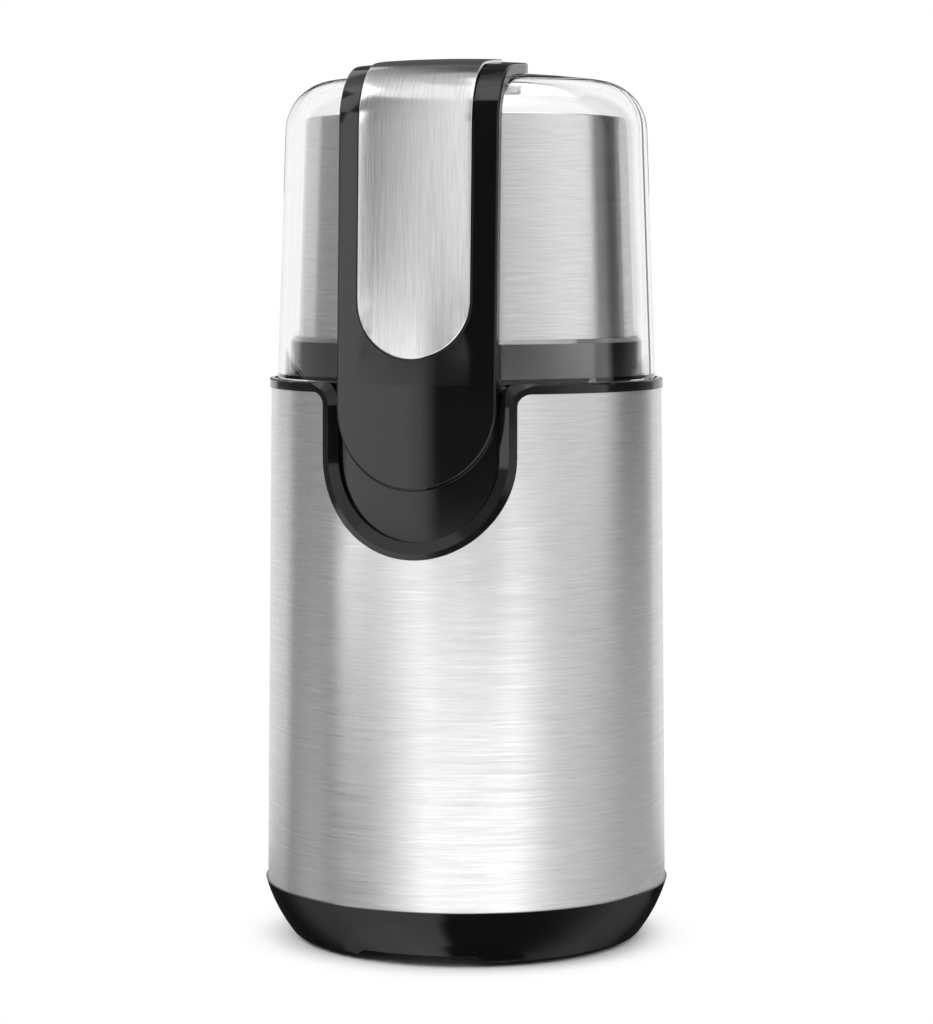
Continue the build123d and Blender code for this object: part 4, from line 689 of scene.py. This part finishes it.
class GRINDER_OT_bowl(GrinderOperator, bpy.types.Operator):
    """Finish the bowl and the ring that carries it"""

    bl_idname = "grinder.bowl"
    bl_label = "Bowl and ring"

    def execute(self, context):
        finishes, sizes = self.settings(context)
        cell = (sizes.streak_length, sizes.streak_length, sizes.streak_width)
        steel = brushed_steel("bowl_steel", finishes.bowl_steel, finishes.bowl_gloss, cell, spread=0.6)
        dress(steel, "grinding_bowl")
        dress(moulded_plastic("ring_moulding", finishes.ring, roughness=0.1, specular=1.0), "bowl_ring")
        return {"FINISHED"}


class GRINDER_OT_blade(GrinderOperator, bpy.types.Operator):
    """Finish the blade, its nut, washer and spindle, the motor's shaft, the bush and the bearings"""

    bl_idname = "grinder.blade"
    bl_label = "Blade, shaft and bearings"

    def execute(self, context):
        finishes, _ = self.settings(context)
        dress(plain_metal("blade_steel", finishes.bowl_steel, roughness=0.22), "blade")
        turned = plain_metal("turned_steel", finishes.steel, roughness=0.3)
        dress(turned, "blade_nut", "blade_washer", "blade_spindle", "motor_shaft")
        dress(plain_metal("bush_bronze", finishes.bronze, roughness=0.4), "bowl_bush", "bush_nut")
        bearing = plain_metal("bearing_bronze", finishes.bronze, roughness=0.5)
        dress(bearing, "upper_bearing", "lower_bearing")
        return {"FINISHED"}


class GRINDER_OT_rubber(GrinderOperator, bpy.types.Operator):
    """Finish the rubber feet, grommet, seal and motor mounts"""

    bl_idname = "grinder.rubber"
    bl_label = "Rubber pieces"

    def execute(self, context):
        finishes, _ = self.settings(context)
        rubber = soft_rubber("soft_rubber", finishes.rubber)
        dress(rubber, "rubber_feet", "cord_gland", "shaft_seal", "motor_mounts")
        return {"FINISHED"}


class GRINDER_OT_fasteners(GrinderOperator, bpy.types.Operator):
    """Finish the screws and bolts"""

    bl_idname = "grinder.fasteners"
    bl_label = "Screws and bolts"

    def execute(self, context):
        finishes, _ = self.settings(context)
        zinc = plain_metal("zinc_steel", finishes.zinc, roughness=0.32)
        dress(zinc, "base_screws", "collar_screws", "mount_screws", "spool_screws")
        dress(zinc, "strap_screws", "switch_screws", "through_bolts")
        return {"FINISHED"}


class GRINDER_OT_springs(GrinderOperator, bpy.types.Operator):
    """Wind the two lift springs, which stay fixed to the housing, and finish the brush springs"""

    bl_idname = "grinder.springs"
    bl_label = "Springs"

    def execute(self, context):
        finishes, sizes = self.settings(context)
        wire_steel = plain_metal("spring_wire", finishes.spring, roughness=0.25)
        dress(wire_steel, "brush_springs", "lift_springs")
        low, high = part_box("lift_springs")
        outer = (high.y - low.y) / 2
        middle = (low.y + high.y) / 2
        points, faces = [], []
        for across in (low.x + outer, high.x - outer):
            first = len(points)
            coil_points, coil_faces = coil_spring(
                Vector((across, middle, 0.0)),
                foot=low.z,
                head=high.z,
                coil=outer - sizes.spring_wire,
                wire=sizes.spring_wire,
                turns=sizes.spring_turns,
            )
            points += coil_points
            faces += [tuple(first + corner for corner in face) for face in coil_faces]
        coils = new_piece("lift_spring_coils", points, faces, wire_steel)
        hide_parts("lift_springs")
        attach(coils, "housing")
        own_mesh(coils)
        return {"FINISHED"}


class GRINDER_OT_motor(GrinderOperator, bpy.types.Operator):
    """Finish the motor and what is sealed in the body"""

    bl_idname = "grinder.motor"
    bl_label = "Motor"

    def execute(self, context):
        finishes, sizes = self.settings(context)
        dress(plain_metal("core_sheets", finishes.core, roughness=0.45), "stator_core", "armature_core")
        windings = wound_wire("wound_copper", finishes.copper, sizes.winding_turn)
        dress(windings, "field_coils", "armature_windings")
        dress(plain_metal("commutator_copper", finishes.copper, roughness=0.3), "commutator")
        dress(plain_metal("sheet_steel", finishes.sheet, roughness=0.4), "motor_plate")
        dress(plain_metal("cast_alloy", finishes.alloy, roughness=0.55), "lower_bracket")
        dress(plain_metal("pressed_brass", finishes.brass, roughness=0.35), "brush_holders")
        dress(moulded_plastic("carbon", finishes.carbon, roughness=0.6), "carbon_brushes")
        dress(moulded_plastic("brown_board", finishes.board, roughness=0.55), "brush_plate")
        nylon = moulded_plastic("white_nylon", finishes.nylon, roughness=0.4)
        dress(nylon, "cooling_fan", "motor_coupler", "bowl_coupler", "lift_pins", "switch_plunger")
        dress(moulded_plastic("red_button", finishes.button, roughness=0.3), "switch_button")
        dress(moulded_plastic("grey_moulding", finishes.housing, roughness=0.5), "inner_housing")
        dress(moulded_plastic("wire_cover", finishes.wire_cover, roughness=0.45), "lead_wires")
        return {"FINISHED"}


# Studio


def surround(azimuth, radius):
    """A point on the floor at an azimuth, in degrees from the front towards +X."""
    turn = math.radians(azimuth)
    return Vector((radius * math.sin(turn), -radius * math.cos(turn), 0.0))


def math_node(tree, operation):
    """A new node that does one sum."""
    node = tree.nodes.new("ShaderNodeMath")
    node.operation = operation
    return node


def seen_rays(tree):
    """A socket that is 1 for rays that show the studio as white, and 0 for others."""
    rays = tree.nodes.new("ShaderNodeLightPath")
    seen = rays.outputs[SEEN_RAYS[0]]
    for kind in SEEN_RAYS[1:]:
        either = math_node(tree, "MAXIMUM")
        tree.links.new(seen, either.inputs[0])
        tree.links.new(rays.outputs[kind], either.inputs[1])
        seen = either.outputs["Value"]
    return seen


def panel_glow(name, stops):
    """A light whose brightness changes round the grinder, as stops give it."""
    material = bpy.data.materials.new(name)
    material.use_nodes = True
    tree = material.node_tree
    tree.nodes.clear()
    place = tree.nodes.new("ShaderNodeTexCoord")
    parts = tree.nodes.new("ShaderNodeSeparateXYZ")
    forward = math_node(tree, "MULTIPLY")
    forward.inputs[1].default_value = -1.0
    turn = math_node(tree, "ARCTAN2")
    first, last = stops[0][0], stops[-1][0]
    along = tree.nodes.new("ShaderNodeMapRange")
    along.inputs["From Min"].default_value = math.radians(first)
    along.inputs["From Max"].default_value = math.radians(last)
    ramp = tree.nodes.new("ShaderNodeValToRGB")
    glow = tree.nodes.new("ShaderNodeEmission")
    out = tree.nodes.new("ShaderNodeOutputMaterial")
    brightest = max(level for _, level in stops)
    glow.inputs["Strength"].default_value = brightest
    elements = ramp.color_ramp.elements
    while len(elements) < len(stops):
        elements.new(0.5)
    for element, (azimuth, level) in zip(elements, stops):
        element.position = (azimuth - first) / (last - first)
        element.color = [level / brightest] * 3 + [1.0]
    tree.links.new(place.outputs["Object"], parts.inputs["Vector"])
    tree.links.new(parts.outputs["Y"], forward.inputs[0])
    tree.links.new(parts.outputs["X"], turn.inputs[0])
    tree.links.new(forward.outputs["Value"], turn.inputs[1])
    tree.links.new(turn.outputs["Value"], along.inputs["Value"])
    tree.links.new(along.outputs["Result"], ramp.inputs["Fac"])
    tree.links.new(ramp.outputs["Color"], glow.inputs["Color"])
    tree.links.new(glow.outputs["Emission"], out.inputs["Surface"])
    return material


def reflector(name, foot, head, radius, stops, through_dome=True):
    """A bent panel round the grinder that only shines in metal, glass and gloss.

    stops lists azimuths in degrees with the panel's brightness there. A panel can stay
    unseen through the clear dome.
    """
    first, last = stops[0][0], stops[-1][0]
    points, faces = [], []
    for step in range(PANEL_STEPS + 1):
        below = surround(first + (last - first) * step / PANEL_STEPS, radius)
        points += [below + Vector((0, 0, foot)), below + Vector((0, 0, head))]
    for step in range(PANEL_STEPS):
        corner = 2 * step
        faces.append((corner, corner + 2, corner + 3, corner + 1))
    panel = new_piece(name, points, faces, panel_glow(name, stops))
    panel.visible_camera = False
    panel.visible_diffuse = False
    panel.visible_shadow = False
    panel.visible_transmission = through_dome


def soft_lamp(name, place, target, side, power):
    """A square area lamp that points at a target."""
    lamp = bpy.data.lights.new(name, "AREA")
    lamp.shape = "SQUARE"
    lamp.size = side
    lamp.energy = power
    holder = bpy.data.objects.new(name, lamp)
    holder.location = place
    holder.rotation_euler = (Vector(target) - Vector(place)).to_track_quat("-Z", "Y").to_euler()
    holder.visible_glossy = False
    holder.visible_camera = False
    bpy.context.scene.collection.objects.link(holder)


def white_world(ambient):
    """A white world behind the grinder, and a softer one as its light."""
    world = bpy.data.worlds.new("studio_world")
    world.use_nodes = True
    tree = world.node_tree
    back = tree.nodes["Background"]
    back.inputs["Color"].default_value = (1.0, 1.0, 1.0, 1.0)
    strength = tree.nodes.new("ShaderNodeMapRange")
    strength.inputs["To Min"].default_value = ambient
    strength.inputs["To Max"].default_value = 1.0
    tree.links.new(seen_rays(tree), strength.inputs["Value"])
    tree.links.new(strength.outputs["Result"], back.inputs["Strength"])
    bpy.context.scene.world = world


def floor_material(base, shadow_reach):
    """A pale floor that is white to the eye but for the shadow close round the grinder."""
    material = bpy.data.materials.new("studio_floor")
    material.use_nodes = True
    tree = material.node_tree
    paint = tree.nodes["Principled BSDF"]
    paint.inputs["Base Color"].default_value = (*base, 1.0)
    paint.inputs["Roughness"].default_value = 0.9
    paint.inputs["Specular IOR Level"].default_value = 0.1
    open_sky = tree.nodes.new("ShaderNodeAmbientOcclusion")
    open_sky.inputs["Distance"].default_value = shadow_reach
    deeper = tree.nodes.new("ShaderNodeMapRange")
    deeper.inputs["From Min"].default_value = SHADOW_DEEP
    deeper.inputs["From Max"].default_value = SHADOW_END
    part = math_node(tree, "MULTIPLY")
    white = tree.nodes.new("ShaderNodeEmission")
    mix = tree.nodes.new("ShaderNodeMixShader")
    tree.links.new(seen_rays(tree), part.inputs[0])
    tree.links.new(open_sky.outputs["AO"], deeper.inputs["Value"])
    tree.links.new(deeper.outputs["Result"], part.inputs[1])
    tree.links.new(part.outputs["Value"], mix.inputs["Fac"])
    tree.links.new(paint.outputs["BSDF"], mix.inputs[1])
    tree.links.new(white.outputs["Emission"], mix.inputs[2])
    tree.links.new(mix.outputs["Shader"], tree.nodes["Material Output"].inputs["Surface"])
    return material


class GRINDER_OT_stage(GrinderOperator, bpy.types.Operator):
    """Set the floor, the lamps, the panels and the camera"""

    bl_idname = "grinder.stage"
    bl_label = "Studio"

    def execute(self, context):
        stage = context.scene.grinder_stage
        white_world(stage.ambient)
        self.lay_floor(stage)
        self.hang_panels(stage)
        for name, place, side, power in LAMPS:
            soft_lamp(name, place, (cad_low + cad_high) / 2, side, power)
        self.place_camera(context.scene, stage)
        context.scene.view_settings.view_transform = "Standard"
        return {"FINISHED"}

    @staticmethod
    def lay_floor(stage):
        """Lay the floor. The panels stand in for it in gloss."""
        half = stage.floor_half
        corners = [(-half, -half, 0), (half, -half, 0), (half, half, 0), (-half, half, 0)]
        paint = floor_material(stage.floor, stage.floor_shadow)
        floor = new_piece("floor", corners, [(0, 1, 2, 3)], paint)
        floor.visible_glossy = False

    @staticmethod
    def hang_panels(stage):
        """Hang the tiers of panels from the top down, then those behind the grinder."""
        head = stage.tent_height
        for name, foot, stops in TIERS:
            foot = max(foot, -stage.tent_height)
            reflector(name, foot, head, stage.tent_radius, stops)
            head = foot
        for name, foot, head, stops in BACK_PANELS:
            reflector(name, foot, head, stage.tent_radius, stops, through_dome=False)

    @staticmethod
    def place_camera(scene, stage):
        """Put the camera where the photograph was taken from."""
        camera = bpy.data.cameras.new("camera")
        camera.lens = stage.camera_lens
        camera.sensor_width = SENSOR_WIDTH
        holder = bpy.data.objects.new("camera", camera)
        holder.location = surround(math.degrees(stage.camera_azimuth), stage.camera_distance)
        holder.location.z = stage.camera_height
        holder.rotation_euler = (math.pi / 2 - stage.camera_tilt, 0.0, stage.camera_azimuth)
        scene.collection.objects.link(holder)
        scene.camera = holder


OPERATORS = (
    GRINDER_OT_sleeve,
    GRINDER_OT_mouldings,
    GRINDER_OT_dome,
    GRINDER_OT_inlay,
    GRINDER_OT_bowl,
    GRINDER_OT_blade,
    GRINDER_OT_rubber,
    GRINDER_OT_fasteners,
    GRINDER_OT_springs,
    GRINDER_OT_motor,
    GRINDER_OT_stage,
)

GROUPS = {
    "grinder_finishes": GrinderFinishes,
    "grinder_sizes": GrinderSizes,
    "grinder_stage": GrinderStage,
}


class GRINDER_PT_pieces(bpy.types.Panel):
    """The grinder's pieces and its studio"""

    bl_idname = "GRINDER_PT_pieces"
    bl_label = "Coffee grinder"
    bl_space_type = "VIEW_3D"
    bl_region_type = "UI"
    bl_category = "Grinder"

    def draw(self, context):
        for operator in OPERATORS:
            self.layout.operator(operator.bl_idname)
        for name, group in GROUPS.items():
            box = self.layout.box()
            for key in group.__annotations__:
                box.prop(getattr(context.scene, name), key)


def register():
    for name, group in GROUPS.items():
        bpy.utils.register_class(group)
        setattr(bpy.types.Scene, name, PointerProperty(type=group))
    for operator in OPERATORS:
        bpy.utils.register_class(operator)
    bpy.utils.register_class(GRINDER_PT_pieces)


def unregister():
    bpy.utils.unregister_class(GRINDER_PT_pieces)
    for operator in reversed(OPERATORS):
        bpy.utils.unregister_class(operator)
    for name, group in GROUPS.items():
        delattr(bpy.types.Scene, name)
        bpy.utils.unregister_class(group)


def main():
    register()
    bpy.ops.grinder.sleeve()
    bpy.ops.grinder.mouldings()
    bpy.ops.grinder.dome()
    bpy.ops.grinder.inlay()
    bpy.ops.grinder.bowl()
    bpy.ops.grinder.blade()
    bpy.ops.grinder.rubber()
    bpy.ops.grinder.fasteners()
    bpy.ops.grinder.springs()
    bpy.ops.grinder.motor()
    bpy.ops.grinder.stage()


if __name__ == "__main__":
    main()
